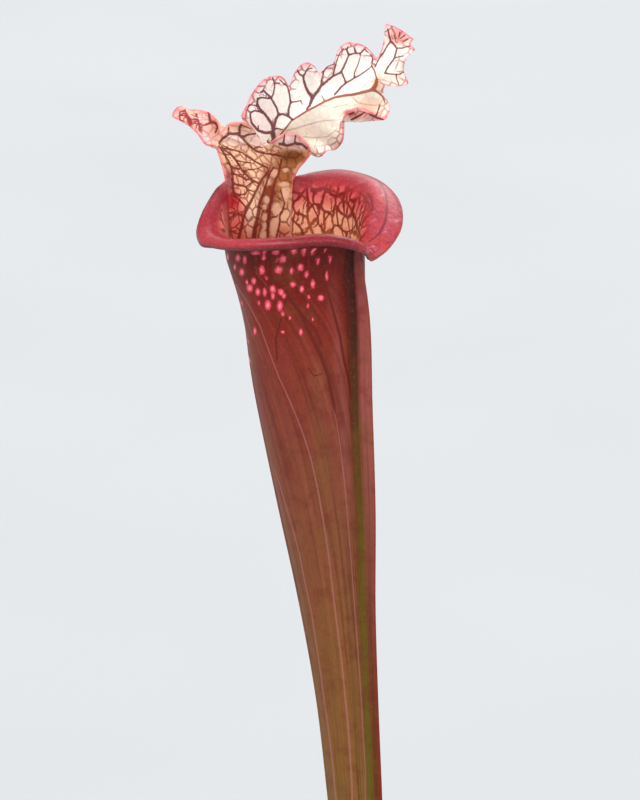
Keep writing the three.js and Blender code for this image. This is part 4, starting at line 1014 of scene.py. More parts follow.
def net_colours(leaf):
    """The lines between the net's cells, in throat, column and blade."""
    throat = laid((150, 78, 36), (np.maximum(smooth(leaf.height, -14, -1), near_lip(leaf)), (110, 14, 22)))
    column = laid((158, 78, 56),
                  (smooth(leaf.y, 178, 200) * leaf.left_of_fold, (158, 32, 32)),
                  # Darker net right of the fold: painted shade, as on the ground beneath it.
                  (smooth(leaf.y, 150, 154) * ~leaf.left_of_fold, (92, 40, 22)),
                  (smooth(leaf.y, 200, 222) * 0.85, (118, 36, 28)),
                  (smooth(-leaf.y, -152, -142) * 0.8, (200, 104, 96)))
    return laid(throat, (leaf.hood, column), (leaf.blade, (176, 78, 88)))


def vein_colours(leaf):
    """The veins that are drawn one by one: brown, redder on the flap and at the blade's right."""
    blade = laid((100, 20, 50), (smooth(leaf.x, 300, 330), (116, 28, 28)))
    return laid((92, 26, 18),
                (leaf.inner * (1 - leaf.rear) * 0.9, (128, 44, 28)),
                (leaf.rear * (leaf.step > 0) + leaf.hood, (106, 36, 28)),
                ((leaf.place > 0) * smooth(-leaf.x, -222, -206), (156, 50, 56)),
                (leaf.blade, blade),
                (leaf.lip, (118, 30, 44)))


def net_places(leaf):
    """Where each point lies in the flat net, in cells, stretched to their size and slant in each part."""
    x, y, rear = leaf.x, leaf.y, leaf.rear
    cases = [
        (rear & ((leaf.place >= 0.3) | (y < 150)), x / 8.5, y / 8.0),
        (~(rear & (leaf.place < 0.3)), np.radians(leaf.top) * 23 / 3.9, leaf.climb / 6.2),
        (~leaf.left_of_fold, x / 8.0, y / 10.5),
        (y < 190, (x + y) / 15.5, (x - y) / 8.5),
    ]
    where, across, upwards = zip(*cases)
    across, upwards = np.select(where, across, x / 7.0), np.select(where, upwards, y / 8.5)
    return np.stack([across, upwards, np.zeros_like(x)], axis=1)


def net_strength(leaf):
    """How strongly the net shows: in the throat and column, faintly on the collar, and near the margin."""
    net = leaf.inner * (1 - smooth(leaf.step, 0.36, 0.54)) * (1 - leaf.hood)
    column = leaf.hood * (1 - leaf.blade) * np.where(leaf.left_of_fold | (leaf.y > 205), 0.8, 0.5)
    net = np.maximum(net, column)
    net = np.where(leaf.rear & (leaf.y < 146) & (leaf.place < 0.38), net * 0.55, net)
    left = leaf.side < 0
    blade = np.where(left, 0.08, 0.1) + smooth(-leaf.margin, -5.0, -2.0) * np.where(left, 0.75, 0.6)
    return np.where(leaf.place > 0.38, blade, net)


def window_marks(leaf):
    """Windows as read from the picture on the side that shows, and scattered ones on the other side."""
    draw = np.random.default_rng(SEED)
    turn = draw.uniform(70, 330, UNSEEN_WINDOWS)
    height = -15 - 38 * draw.uniform(0, 1, UNSEEN_WINDOWS) ** 1.6
    wide, high = draw.uniform(0.35, 0.85, (2, UNSEEN_WINDOWS))
    blobs = zip(turn * ROUND_TUBE, height, wide, high * 1.5)
    unrolled = np.stack([(leaf.top % 360) * ROUND_TUBE, leaf.height], axis=1)
    read = spots(leaf.seen, grown(WINDOWS, 1.2, 1.2))
    return np.where(leaf.depth < 0.4, read, spots(unrolled, blobs)) * leaf.windowed


def strand_places(leaf):
    """Round the tube and slowly along it, so that noise here draws streaks; they twist most at the neck."""
    angle = np.degrees(np.arctan2(leaf.off_middle @ SIDEWAYS[:2], leaf.off_middle @ FORWARD[:2]))
    slope = 76 * np.exp((np.minimum(leaf.height, NECK_HEIGHT) - NECK_HEIGHT) / 38)
    twisted = np.radians(angle - slope)
    rise = leaf.height * 0.02
    tube = np.stack([20 * np.cos(twisted), 20 * np.sin(twisted), rise], axis=1)
    wing = np.stack([18 * leaf.fin + 40, 3 * np.sign(angle), rise], axis=1)
    return np.where((leaf.fin > 0.02)[:, None], wing, tube)


def leaf_marks(made):
    """What the finish reads at each point: grounds, nets, veins, windows and how much lip or hood it is."""
    leaf = leaf_layout(made)
    leaf.points = made.points
    leaf_zones(leaf)
    on_blade = leaf.place > 0.4
    on_lip = (leaf.lip > 0.5) & ~leaf.outside
    right_wall = ~leaf.rear & ~leaf.outside & (leaf.top < 0)
    on_column = leaf.rear & (leaf.place <= 0.2)
    on_collar = leaf.rear & (leaf.place > 0) & (leaf.place <= 0.4)
    # The spots lie on the column's right half, which is browned with painted shade.
    shaded_right_part = leaf.rear & (leaf.place < 0.1) & ~leaf.left_of_fold
    return {
        "ground": linear(ground_colours(leaf)),
        "dark": linear(net_colours(leaf)),
        "ink": linear(vein_colours(leaf)),
        "weave": net_places(leaf),
        "net": net_strength(leaf),
        # The drawn veins also paint the shadows of the column's and collar's folds and the shade in the lip's
        # creases.
        "vein": drawn(leaf.seen, (on_column, COLUMN_VEINS_AND_FOLD_SHADOW), (on_collar, COLLAR_VEINS_AND_FOLD_SHADOW), (on_blade, HOOD_VEINS),
                      (right_wall, THROAT_VEINS), (leaf.front, TUBE_VEINS), (on_lip, LIP_CREASE_SHADOWS)),
        "faint": drawn(leaf.seen, (on_blade, FAINT_VEINS), (leaf.front, TUBE_RIBS)),
        "midrib": drawn(leaf.seen, (on_blade, MIDRIB_LINE)),
        "margin": leaf.margin,
        "lip": leaf.lip,
        "hood": leaf.hood,
        "inner": leaf.inner,
        "window": window_marks(leaf),
        "spot": spots(leaf.seen, grown(COLUMN_SPOTS, 1.2, 1.25)) * shaded_right_part,
        "strand": strand_places(leaf),
        "folds": leaf.lip * leaf.inner * (1 - leaf.rear) * smooth(leaf.x, 348, 368),
    }


class Finish:
    """A material's nodes, with short calls for the steps that the finishes share."""

    def __init__(self, name, **settings):
        """An empty material with one shader; settings are the shader's own plain values."""
        self.material = bpy.data.materials.new(name)
        self.material.use_nodes = True
        self.tree = self.material.node_tree
        self.tree.nodes.clear()
        self.shader = self.node("BsdfPrincipled", settings)
        self.node("OutputMaterial", {"Surface": self.shader.outputs[0]})
        self.base = None

    def feed(self, socket, value):
        """Links another node's output to the socket, or sets its plain value."""
        if isinstance(value, bpy.types.NodeSocket):
            self.tree.links.new(value, socket)
        else:
            socket.default_value = value

    def node(self, kind, inputs=(), **settings):
        """A new node with its settings; its inputs are fed by name or number."""
        node = self.tree.nodes.new("ShaderNode" + kind)
        for key, value in settings.items():
            setattr(node, key, value)
        for key, value in dict(inputs).items():
            self.feed(node.inputs[key], value)
        return node

    def set(self, key, value):
        """Feeds one of the shader's inputs."""
        self.feed(self.shader.inputs[key], value)

    def attribute(self, name, kind="Fac"):
        """What a point attribute holds."""
        return self.node("Attribute", attribute_name=name).outputs[kind]

    def place(self):
        """The point's own place on the piece, in metres."""
        return self.node("TexCoord").outputs["Object"]

    def maths(self, operation, *values):
        """One sum of plain numbers."""
        return self.node("Math", enumerate(values), operation=operation).outputs[0]

    def plus(self, first, second):
        """The first added to the second."""
        return self.maths("ADD", first, second)

    def less(self, first, second):
        """The first less the second."""
        return self.maths("SUBTRACT", first, second)

    def times(self, first, second):
        """The first times the second."""
        return self.maths("MULTIPLY", first, second)

    def vector(self, operation, *values):
        """One sum of vectors, number by number; a length is a plain number."""
        node = self.node("VectorMath", enumerate(values), operation=operation)
        return node.outputs["Value" if operation == "LENGTH" else "Vector"]

    def parts(self, value):
        """A vector's three numbers."""
        return self.node("SeparateXYZ", {0: value}).outputs

    def stretch(self, value, scale):
        """A vector multiplied number by number."""
        return self.vector("MULTIPLY", value, scale)

    def step(self, value, low, high, to_low=0.0, to_high=1.0):
        """A smooth step from to_low at low to to_high at high."""
        inputs = {"Value": value, "From Min": low, "From Max": high, "To Min": to_low, "To Max": to_high}
        return self.node("MapRange", inputs, interpolation_type="SMOOTHSTEP").outputs["Result"]

    def mix(self, share, first, second):
        """The first colour moved towards the second by a share."""
        return self.node("Mix", {0: share, 6: first, 7: second}, data_type="RGBA").outputs[2]

    def coat(self, value, low, high, most, colour, within=None):
        """Moves the base towards a colour by up to most as value goes from low to high, within a mask."""
        share = self.step(value, low, high, 0, most)
        if within is not None:
            share = self.times(share, within)
        if isinstance(colour, tuple):
            colour = tone(*colour)
        self.base = self.mix(share, self.base, colour)

    def noise(self, place, scale, detail=3.0, roughness=0.5, output="Fac"):
        """Cloudy noise from 0 to 1, as a number or as a colour."""
        inputs = {"Vector": place, "Scale": scale, "Detail": detail, "Roughness": roughness}
        return self.node("TexNoise", inputs).outputs[output]

    def cells(self, place, scale):
        """How far from the middle of the nearest cell, in all three directions."""
        return self.node("TexVoronoi", {"Vector": place, "Scale": scale}).outputs["Distance"]

    def net(self, place):
        """How far from the edge of a flat pattern's cell; the place's third number counts for nothing."""
        node = self.node("TexVoronoi", voronoi_dimensions="2D", feature="DISTANCE_TO_EDGE")
        self.feed(node.inputs["Vector"], place)
        self.feed(node.inputs["Scale"], 1.0)
        return node.outputs["Distance"]

    def line(self, name):
        """How far from a vein's middle, in half widths: the offset's length, or the distance less a cell."""
        value = self.attribute(name, "Vector")
        _, _, plain = self.parts(value)
        flat = self.vector("LENGTH", self.stretch(value, (1, 1, 0)))
        return self.maths("MAXIMUM", flat, self.less(plain, 1.6))

    def finished(self, height=None, strength=0.0, distance=0.0):
        """The material with its base and, where a height is given, a bump."""
        self.set("Base Color", self.base)
        if height is not None:
            inputs = {"Height": height, "Strength": strength, "Distance": distance}
            self.set("Normal", self.node("Bump", inputs).outputs[0])
        return self.material


def leaf_finish():
    """Painted grounds under a net, spots, streaks, windows and veins; the lip is glossier than the hood."""
    f = Finish("pitcher_leaf_skin")
    place = f.place()
    inner, hood, lip, net = f.attribute("inner"), f.attribute("hood"), f.attribute("lip"), f.attribute("net")
    dark, strand = f.attribute("dark", "Color"), f.attribute("strand", "Vector")
    f.base = f.attribute("ground", "Color")
    ragged = f.noise(place, 1300, 3, 0.6)
    uneven = f.less(ragged, 0.5)
    patches = f.noise(place, 420, 2, 0.5)

    def rough(value, amount):
        """The value made uneven, so that what is cut from it has a ragged edge."""
        return f.plus(value, f.times(uneven, amount))

    # Cell net of throat and column, and the pale spots of the column's brown half.
    wander = f.vector("SUBTRACT", f.noise(place, 330, 2, 0.5, "Color"), (0.5, 0.5, 0.5))
    edges = f.net(f.vector("ADD", f.attribute("weave", "Vector"), f.stretch(wander, (0.5, 0.5, 0.5))))
    throat = f.times(net, f.less(1.0, f.maths("MAXIMUM", hood, lip)))
    f.coat(patches, 0.45, 0.62, 0.45, (232, 112, 110), throat)
    f.coat(rough(edges, 0.12), 0.17, 0.06, 0.92, dark, throat)
    f.coat(rough(edges, 0.1), 0.15, 0.06, 0.92, dark, f.less(net, throat))
    f.coat(rough(f.attribute("spot"), 0.7), 0.2, 0.75, 0.85, (228, 178, 148))

    # Tube: fine lengthwise streaks and soft mottling, then the windows with ragged edges and a red halo.
    skin = f.times(f.less(1.0, hood), f.less(1.0, inner))
    streaks = f.noise(strand, 0.55, 5, 0.62)
    f.coat(streaks, 0.5, 0.68, 0.45, (70, 20, 15), skin)
    f.coat(streaks, 0.46, 0.3, 0.12, (176, 100, 84), skin)
    f.coat(f.noise(place, 160, 4, 0.65), 0.45, 0.68, 0.38, (92, 26, 18), skin)
    f.coat(f.noise(place, 90, 4, 0.6), 0.5, 0.7, 0.3, (104, 72, 30), skin)
    f.coat(f.noise(place, 1000, 3, 0.7), 0.5, 0.7, 0.2, (150, 70, 56), skin)
    fine = f.noise(f.stretch(strand, (1, 1, 6)), 2.2, 3, 0.6)
    f.coat(fine, 0.52, 0.7, 0.25, (70, 22, 15), skin)
    window = f.attribute("window")
    f.coat(window, 0.05, 0.4, 0.35, (140, 30, 30))
    ragged_window = rough(window, 0.6)
    f.coat(ragged_window, 0.3, 0.66, 0.95, (214, 72, 94))
    f.coat(ragged_window, 0.62, 1.1, 0.85, (246, 150, 156))

    # Lip: a little mottled, puckered folds at its right with painted shade in their creases, fine wrinkles
    # across it.
    folds, pucker = f.attribute("folds"), f.noise(place, 250, 4, 0.6)
    crossed = f.maths("ABSOLUTE", f.less(f.noise(place, 180, 3, 0.6), 0.5))
    wrinkles = f.noise(f.stretch(strand, (1, 1, 2)), 1.1, 4, 0.6)
    f.coat(patches, 0.46, 0.7, 0.3, (150, 26, 40), lip)
    f.coat(pucker, 0.5, 0.62, 0.6, (186, 52, 40), folds)
    f.coat(pucker, 0.46, 0.34, 0.5, (216, 128, 136), folds)
    # Painted shade: the crease lines, which the bump sinks, are darkened.
    f.coat(crossed, 0.035, 0.0, 0.5, (112, 18, 34), folds)
    f.coat(wrinkles, 0.5, 0.72, 0.3, (116, 16, 30), lip)
    f.coat(ragged, 0.5, 0.75, 0.4, (122, 18, 34), lip)
    f.coat(ragged, 0.48, 0.28, 0.3, (196, 96, 116), lip)
    f.coat(rough(f.attribute("margin"), 1.1), 0.55, 0.1, 0.6, (224, 96, 110), hood)

    # Veins, with uneven edges; none crosses a window.
    off_window = f.step(window, 0.1, 0.35, 1, 0)
    faint = f.mix(hood, tone(166, 104, 102), tone(166, 110, 86))
    ink = f.attribute("ink", "Color")
    for name, loose, most, colour in (("faint", 1.2, 0.4, faint), ("midrib", 0.5, 0.9, (158, 70, 30)),
                                      ("vein", 0.9, 0.92, ink)):
        f.coat(rough(f.line(name), loose), 1.3, 0.55, most, colour, off_window)
    f.coat(f.cells(place, 420), 0.16, 0.08, 0.45, (190, 130, 100), hood)

    f.set("Roughness", f.less(0.48, f.times(lip, 0.12)))
    f.set("Specular IOR Level", f.plus(0.14, f.less(f.times(lip, 0.22), f.times(hood, 0.11))))
    grain = f.plus(fine, f.times(ragged, 0.5))
    grain = f.plus(grain, f.times(f.plus(pucker, crossed), f.times(folds, 3.0)))
    return f.finished(f.plus(grain, f.times(edges, net)), 0.25, 0.0003)


def young_finish(name, foot, low, high, tip):
    """Young leaf skin by share of its length: pale foot, green, redder upwards, with lengthwise streaks."""
    f = Finish(name, Roughness=0.42)
    share = f.attribute("share")
    f.base = tone(*foot)
    f.coat(share, 0.08, 0.3, 1, low)
    f.coat(share, 0.3, 0.75, 1, high)
    f.coat(share, 0.8, 1.0, 1, tip)
    streaks = f.noise(f.attribute("strand", "Vector"), 1.0, 4, 0.6)
    f.coat(streaks, 0.42, 0.62, 0.45, (72, 70, 22))
    f.coat(streaks, 0.46, 0.3, 0.35, (176, 176, 96))
    f.coat(f.noise(f.place(), 120, 3), 0.45, 0.7, 0.5, tip, f.step(share, 0.3, 0.8))
    f.set("Specular IOR Level", 0.35)
    return f.finished(streaks, 0.35, 0.0004)


def pot_finish():
    """Dark moulded plastic, satin, with a slight grain, fine scuffs and a little dust near rim and foot."""
    f = Finish("pot_plastic")
    place = f.place()
    dust = f.noise(place, 34, 5, 0.62)
    _, _, height = f.parts(place)
    ends = f.plus(f.step(height, 0.03, 0.0, 0, 0.35), f.step(height, 0.1, 0.119, 0, 0.2))
    amount = f.plus(f.step(dust, 0.46, 0.75, 0, 0.3), f.times(dust, ends))
    f.base = f.mix(amount, tone(36, 36, 37), tone(86, 80, 70))
    f.coat(f.noise(f.stretch(place, (1, 1, 7)), 260, 3, 0.7), 0.62, 0.72, 0.3, (74, 74, 74))
    f.set("Roughness", f.step(amount, 0.0, 0.6, 0.36, 0.7))
    return f.finished(f.noise(place, 1500, 2), 0.12, 0.0002)


def medium_finish():
    """Moist peat, dark and fibrous, with paler grains, white perlite and a little green film."""
    f = Finish("medium_peat", Roughness=0.92)
    place, perlite = f.place(), f.attribute("perlite")
    f.base = tone(40, 27, 18)
    f.coat(f.cells(place, 620), 0.1, 0.75, 1, (92, 66, 42))
    f.coat(f.noise(place, 70, 5), 0.48, 0.68, 0.7, (30, 21, 15))
    f.coat(f.noise(f.stretch(place, (1, 0.2, 1)), 900, 2), 0.62, 0.72, 0.7, (128, 92, 56))
    f.coat(f.noise(place, 42, 4, 0.6), 0.54, 0.66, 0.55, (74, 86, 34), f.less(1.0, perlite))
    f.coat(f.attribute("shade"), 0.0, 1.0, 0.6, (118, 82, 50))
    white = f.mix(f.noise(place, 700, 3), tone(176, 168, 156), tone(224, 219, 209))
    f.base = f.mix(perlite, f.base, white)
    return f.finished(f.noise(place, 700, 6, 0.65), 0.8, 0.001)


def rhizome_finish():
    """Brown woody rhizome with rings and flaking skin; the broken leaf bases are paler and fibrous."""
    f = Finish("rhizome_skin", Roughness=0.8)
    place, stub = f.place(), f.attribute("stub")
    rings = f.noise(f.stretch(place, (1, 0.15, 0.15)), 500, 3)
    flakes = f.noise(place, 240, 5, 0.65)
    fibres = f.noise(f.stretch(place, (1, 1, 0.12)), 1500, 3, 0.6)
    f.base = tone(96, 60, 38)
    f.coat(fibres, 0.38, 0.62, 1, (178, 138, 96))
    # Painted shade: the hollow inside each broken leaf base is darkened.
    f.coat(stub, 0.75, 1.0, 0.7, (60, 38, 26))
    dry_and_hollow_shade = f.base
    f.base = tone(74, 42, 28)
    f.coat(rings, 0.35, 0.65, 1, (132, 90, 58))
    f.coat(flakes, 0.5, 0.66, 0.8, (44, 28, 20))
    f.coat(stub, 0.02, 0.2, 1, dry_and_hollow_shade)
    return f.finished(f.plus(rings, f.times(flakes, 0.6)), 0.7, 0.0009)


# The lower pieces, as in the part's source, with the middle of the pot's underside as origin.
POT_HEIGHT, POT_FOOT_RADIUS, POT_TOP_RADIUS, POT_WALL, POT_FLOOR = 120.0, 52.0, 69.0, 2.4, 3.0
RIM_HEIGHT, RIM_PROUD, POT_ROUNDING = 14.0, 3.0, 0.7
DRAIN_COUNT, DRAIN_RADIUS, DRAIN_CIRCLE = 6, 4.0, 32.0
POT_SIDES, LEG_STEPS, DRAIN_RINGS = 192, 8, 4
FIT_GAP = 0.3
MEDIUM_HEIGHT, MEDIUM_RISE, MEDIUM_LUMPS, MEDIUM_ROUGHNESS = 104.0, 2.2, 0.7, 1.1
MEDIUM_RINGS, MEDIUM_WALL_RINGS, MEDIUM_SIDES = 96, 8, 256
BED_REACH = 1.03
# Loose bits on the medium: how many, rounds of splitting, roughness, least and most size, form, whiteness.
LOOSE_BITS = [
    (900, 1, 0.25, 0.5, 1.5, (1, 0.85, 0.7), 0), (170, 1, 0.2, 1.0, 2.4, (1, 0.16, 0.14), 0),
    (84, 2, 0.2, 0.6, 1.5, (1, 0.85, 0.75), 1),
]
RHIZOME_HEIGHT = 104.0
RHIZOME_HALVES = np.array([21.0, 11.5, 8.5])
RHIZOME_ROWS, RHIZOME_SIDES = 200, 160
# Where the tall leaf stands on the rhizome, which way its foot points, and how wide its hole is.
TALL_LEAF_PLACE, TALL_LEAF_WAY, TALL_LEAF_HOLE = (5.2, -2.0), (-0.11, 0.085, 1.0), 5.9
HOLE_DEPTH = 5
# Stubs of old leaves: place across and back, lean across and back, radius, height.
OLD_LEAF_STUBS = [
    [-16, 1.5, -0.5, 0.1, 2.4, 13], [-12.5, -4, -0.3, -0.35, 2.2, 11], [-11, 4.5, -0.2, 0.4, 2.6, 16],
    [14.5, 1, 0.55, 0.1, 2.3, 12], [-4.5, -5.5, -0.1, -0.5, 2.1, 12], [14, -4.5, 0.5, -0.3, 2, 10],
]
STUB_SIDES, STUB_ROWS, STUB_HOLLOW = 36, 16, 2.6
# Young leaves: place across and back, height, lean, bend and heading in degrees.
YOUNG_PITCHER = (-4.5, 2.5, 118, 10, 9, 118)
SWORD_LEAVES = [(-8.5, -1.5, 128, 16, 34, 205), (12.5, 4, 96, 15, 26, 40)]
LEAF_FOOT_RADIUS = 2.4
# Their sections: share of the length, half width, half thickness.
BEAK_SECTION = [
    [0, 2.4, 2.4], [0.08, 2.4, 2.4], [0.35, 3, 3], [0.7, 5, 4.6], [0.82, 5.4, 4.2], [0.92, 4, 2.2],
    [1, 0.9, 0.8],
]
BLADE_SECTION = [
    [0, 2.4, 2.4], [0.06, 2.4, 2.4], [0.3, 3.6, 1.1], [0.5, 5, 0.7], [0.85, 3, 0.5], [1, 0.5, 0.4],
]
BEAK_RIBS, BLADE_RIBS = 7, 14
SOURCE_ROWS, YOUNG_ROWS, YOUNG_SIDES = 18, 90, 40


def full_turn(sides):
    """Evenly spaced angles once round."""
    return np.arange(sides) * 2 * np.pi / sides


def turned(radius, height, angle):
    """Rings of points round the upright axis, one for each radius and height."""
    x, y = radius[:, None] * np.cos(angle), radius[:, None] * np.sin(angle)
    return np.stack([x, y, np.broadcast_to(height[:, None], x.shape)], axis=-1)


def waves(points, count, shortest, longest, seed):
    """A rough surface: the sum of seeded plane waves whose heights grow with their lengths."""
    draw = np.random.default_rng(seed)
    total = np.zeros(len(points))
    for length in np.geomspace(shortest, longest, count):
        way = unit(draw.normal(size=points.shape[1]))
        total += length * np.sin(2 * np.pi * (points @ way / length + draw.uniform()))
    return total / (longest * 2)


def rounded(profile, reach):
    """A profile with each corner replaced by a parabola that starts and ends at the reach from it."""
    corners = np.array(profile, float)
    middle = corners[1:-1, None]

    def cut(way):
        """The step from a corner along one of its lines, at most a little under half the line."""
        return (way * np.minimum(reach / np.linalg.norm(way, axis=1), 0.45)[:, None])[:, None]

    before, after = cut(corners[:-2] - corners[1:-1]), cut(corners[2:] - corners[1:-1])
    t = np.linspace(0, 1, 6)[None, :, None]
    arcs = (1 - t) ** 2 * (middle + before) + 2 * t * (1 - t) * middle + t ** 2 * (middle + after)
    return np.concatenate([corners[:1], arcs.reshape(-1, 2), corners[-1:]])


def pot_radius(height):
    """The pot's outer radius at a height, which widens evenly from foot to top."""
    return POT_FOOT_RADIUS + (POT_TOP_RADIUS - POT_FOOT_RADIUS) * height / POT_HEIGHT


def sector_grid(reach, near):
    """Rings from a drain hole's edge to the edge of its sector, which lies between two radii."""
    sector = np.pi / DRAIN_COUNT
    bend = np.linspace(-sector, sector, POT_SIDES // DRAIN_COUNT + 1)[:-1]
    legs = np.linspace(reach, near, LEG_STEPS + 1)
    radius = np.concatenate([np.full(len(bend), reach), legs[:-1], np.full(len(bend), near), legs[::-1][:-1]])
    upper, lower = np.full(LEG_STEPS, sector), np.full(LEG_STEPS, -sector)
    angle = np.concatenate([bend, upper, -bend, lower])
    border = np.stack([radius * np.cos(angle), radius * np.sin(angle)], axis=1)
    hole = np.array([DRAIN_CIRCLE, 0.0])
    rim = hole + DRAIN_RADIUS * unit(border - hole)
    return rim + (border - rim) * np.linspace(0, 1, DRAIN_RINGS + 1)[:, None, None]


def drained_floor(reach, height, start, downward):
    """A floor with round holes: one sector's grid turned to each hole, and a disc within them."""
    near = DRAIN_CIRCLE / 2
    grid = sector_grid(reach, near)
    turn = np.arange(DRAIN_COUNT) * 2 * (np.pi / DRAIN_COUNT)
    c, s = np.cos(turn)[:, None, None], np.sin(turn)[:, None, None]
    x = c * grid[..., 0] - s * grid[..., 1]
    y = s * grid[..., 0] + c * grid[..., 1]
    sheets = np.stack([x, y, np.full_like(x, height)], axis=-1)
    index = start + np.arange(x.size).reshape(x.shape)
    cells = np.concatenate([quads_of(closed(sheet)) for sheet in index])
    disc = turned(np.array([near]), np.array([height]), full_turn(POT_SIDES) - np.pi / DRAIN_COUNT)[0]
    base = start + x.size
    hub = fan(base + np.arange(POT_SIDES), base + POT_SIDES, flip=downward)
    points = np.concatenate([sheets.reshape(-1, 3), disc, [[0, 0, height]]])
    return points, cells if downward else cells[:, ::-1], hub, index[:, 0]


def pot_piece():
    """The pot turned from its profile, with rounded edges and six round drain holes through its floor."""
    under, rim = POT_HEIGHT - RIM_HEIGHT, pot_radius(POT_HEIGHT) + RIM_PROUD
    inside = pot_radius(POT_FLOOR) - POT_WALL
    mouth = pot_radius(POT_HEIGHT) - POT_WALL
    profile = rounded([
        [POT_FOOT_RADIUS - 3, 0], [POT_FOOT_RADIUS - 2, 0], [POT_FOOT_RADIUS - 0.4, 0.8], [pot_radius(5), 5],
        [pot_radius(under), under], [rim - 1, under], [rim, under + 1], [rim, POT_HEIGHT - 1.5],
        [rim - 1.2, POT_HEIGHT], [rim - RIM_PROUD - 0.6, POT_HEIGHT], [mouth, POT_HEIGHT - 2],
        [inside, POT_FLOOR], [inside - 1, POT_FLOOR],
    ], POT_ROUNDING)
    rings = turned(profile[:, 0], profile[:, 1], full_turn(POT_SIDES) - np.pi / DRAIN_COUNT)
    wall = rings.reshape(-1, 3)
    under_floor, under_cells, under_hub, under_holes = drained_floor(profile[0, 0], 0.0, len(wall), True)
    start = len(wall) + len(under_floor)
    upper_floor, upper_cells, upper_hub, upper_holes = drained_floor(profile[-1, 0], POT_FLOOR, start, False)
    bores = [quads_of(closed(np.stack(edges))) for edges in zip(under_holes, upper_holes)]
    faces = [rings_closed(rings), under_cells, upper_cells, *bores, under_hub, upper_hub]
    points = np.concatenate([wall, under_floor, upper_floor])
    joined(mesh_piece("nursery_pot", points, faces, pot_finish(), "pot"))


def joined(piece):
    """Merges doubled points and turns every face outwards."""
    shell = bmesh.new()
    shell.from_mesh(piece.data)
    bmesh.ops.remove_doubles(shell, verts=shell.verts, dist=1e-6)
    bmesh.ops.recalc_face_normals(shell, faces=shell.faces)
    shell.to_mesh(piece.data)
    shell.free()


def in_rhizome(x, y):
    """The squared share of the rhizome's outline at a place; one on the outline."""
    return (x / RHIZOME_HALVES[0]) ** 2 + (y / RHIZOME_HALVES[1]) ** 2


def medium_top(x, y):
    """Height of the medium: a ring-shaped rise, soft lumps, fine roughness, and the rhizome's bed."""
    share = np.hypot(x, y) / pot_radius(MEDIUM_HEIGHT)
    lumps = np.sin(0.21 * x + 0.6) * np.cos(0.17 * y) + 0.6 * np.sin(0.31 * y - 0.23 * x)
    height = (MEDIUM_HEIGHT + MEDIUM_RISE * np.sin(np.pi * share)
              + MEDIUM_LUMPS * lumps * share * (1 - share) * 4)
    inside = in_rhizome(x, y)
    rough = waves(np.stack([x.ravel(), y.ravel()], axis=1), 34, 1.3, 9, SEED).reshape(x.shape)
    height = height + smooth(inside, 1.05, 1.5) * MEDIUM_ROUGHNESS * rough
    bed = MEDIUM_HEIGHT - (RHIZOME_HALVES[2] + FIT_GAP) * np.sqrt(np.maximum(1 - inside / BED_REACH, 0))
    return np.where(inside < BED_REACH, bed, height)


def icosphere(rounds, roughness, seed):
    """A rough round grain: an icosahedron split a few times, its points pushed in and out."""
    shell = bmesh.new()
    bmesh.ops.create_icosphere(shell, subdivisions=rounds, radius=1.0)
    points = np.array([v.co[:] for v in shell.verts])
    faces = np.array([[v.index for v in face.verts] for face in shell.faces])
    shell.free()
    swell = 1 + roughness * np.random.default_rng(seed).uniform(-1, 1, len(points))
    return points * swell[:, None], faces


def scattered(shape, faces, places, sizes, seed, start):
    """One grain turned, sized and put at each place."""
    draw = np.random.default_rng(seed)
    w, x, y, z = unit(draw.normal(size=(len(places), 4))).T
    turn = np.array([
        [1 - 2 * (y * y + z * z), 2 * (x * y - w * z), 2 * (x * z + w * y)],
        [2 * (x * y + w * z), 1 - 2 * (x * x + z * z), 2 * (y * z - w * x)],
        [2 * (x * z - w * y), 2 * (y * z + w * x), 1 - 2 * (x * x + y * y)],
    ]).transpose(2, 0, 1)
    points = np.einsum("nij,nvj->nvi", turn, shape[None] * sizes[:, None]) + places[:, None]
    numbers = start + faces[None] + (np.arange(len(places)) * len(shape))[:, None, None]
    return points.reshape(-1, 3), numbers.reshape(-1, faces.shape[1])


def medium_body(reach):
    """Rough top, side and underside of the medium: its points and its faces."""
    foot = POT_FLOOR + FIT_GAP
    foot_reach = pot_radius(foot) - POT_WALL - 2 * FIT_GAP
    angle = full_turn(MEDIUM_SIDES)
    levels = np.linspace(foot, MEDIUM_HEIGHT - 2, MEDIUM_WALL_RINGS)
    wall_reach = foot_reach + (reach - foot_reach) * (levels - foot) / (MEDIUM_HEIGHT - foot)
    top = turned(reach * np.linspace(1, 0, MEDIUM_RINGS + 1)[:-1], np.zeros(MEDIUM_RINGS), angle)
    top[..., 2] = medium_top(top[..., 0], top[..., 1])
    rings = np.concatenate([turned(wall_reach, levels, angle), top])
    poles = [[0, 0, foot], [0, 0, medium_top(np.zeros(1), np.zeros(1))[0]]]
    points = np.concatenate([rings.reshape(-1, 3), poles])
    first, last = np.arange(MEDIUM_SIDES), len(points) - 2 - MEDIUM_SIDES + np.arange(MEDIUM_SIDES)
    ends = [fan(first, len(points) - 2, flip=True), fan(last, len(points) - 1)]
    return points, rings_closed(rings), ends


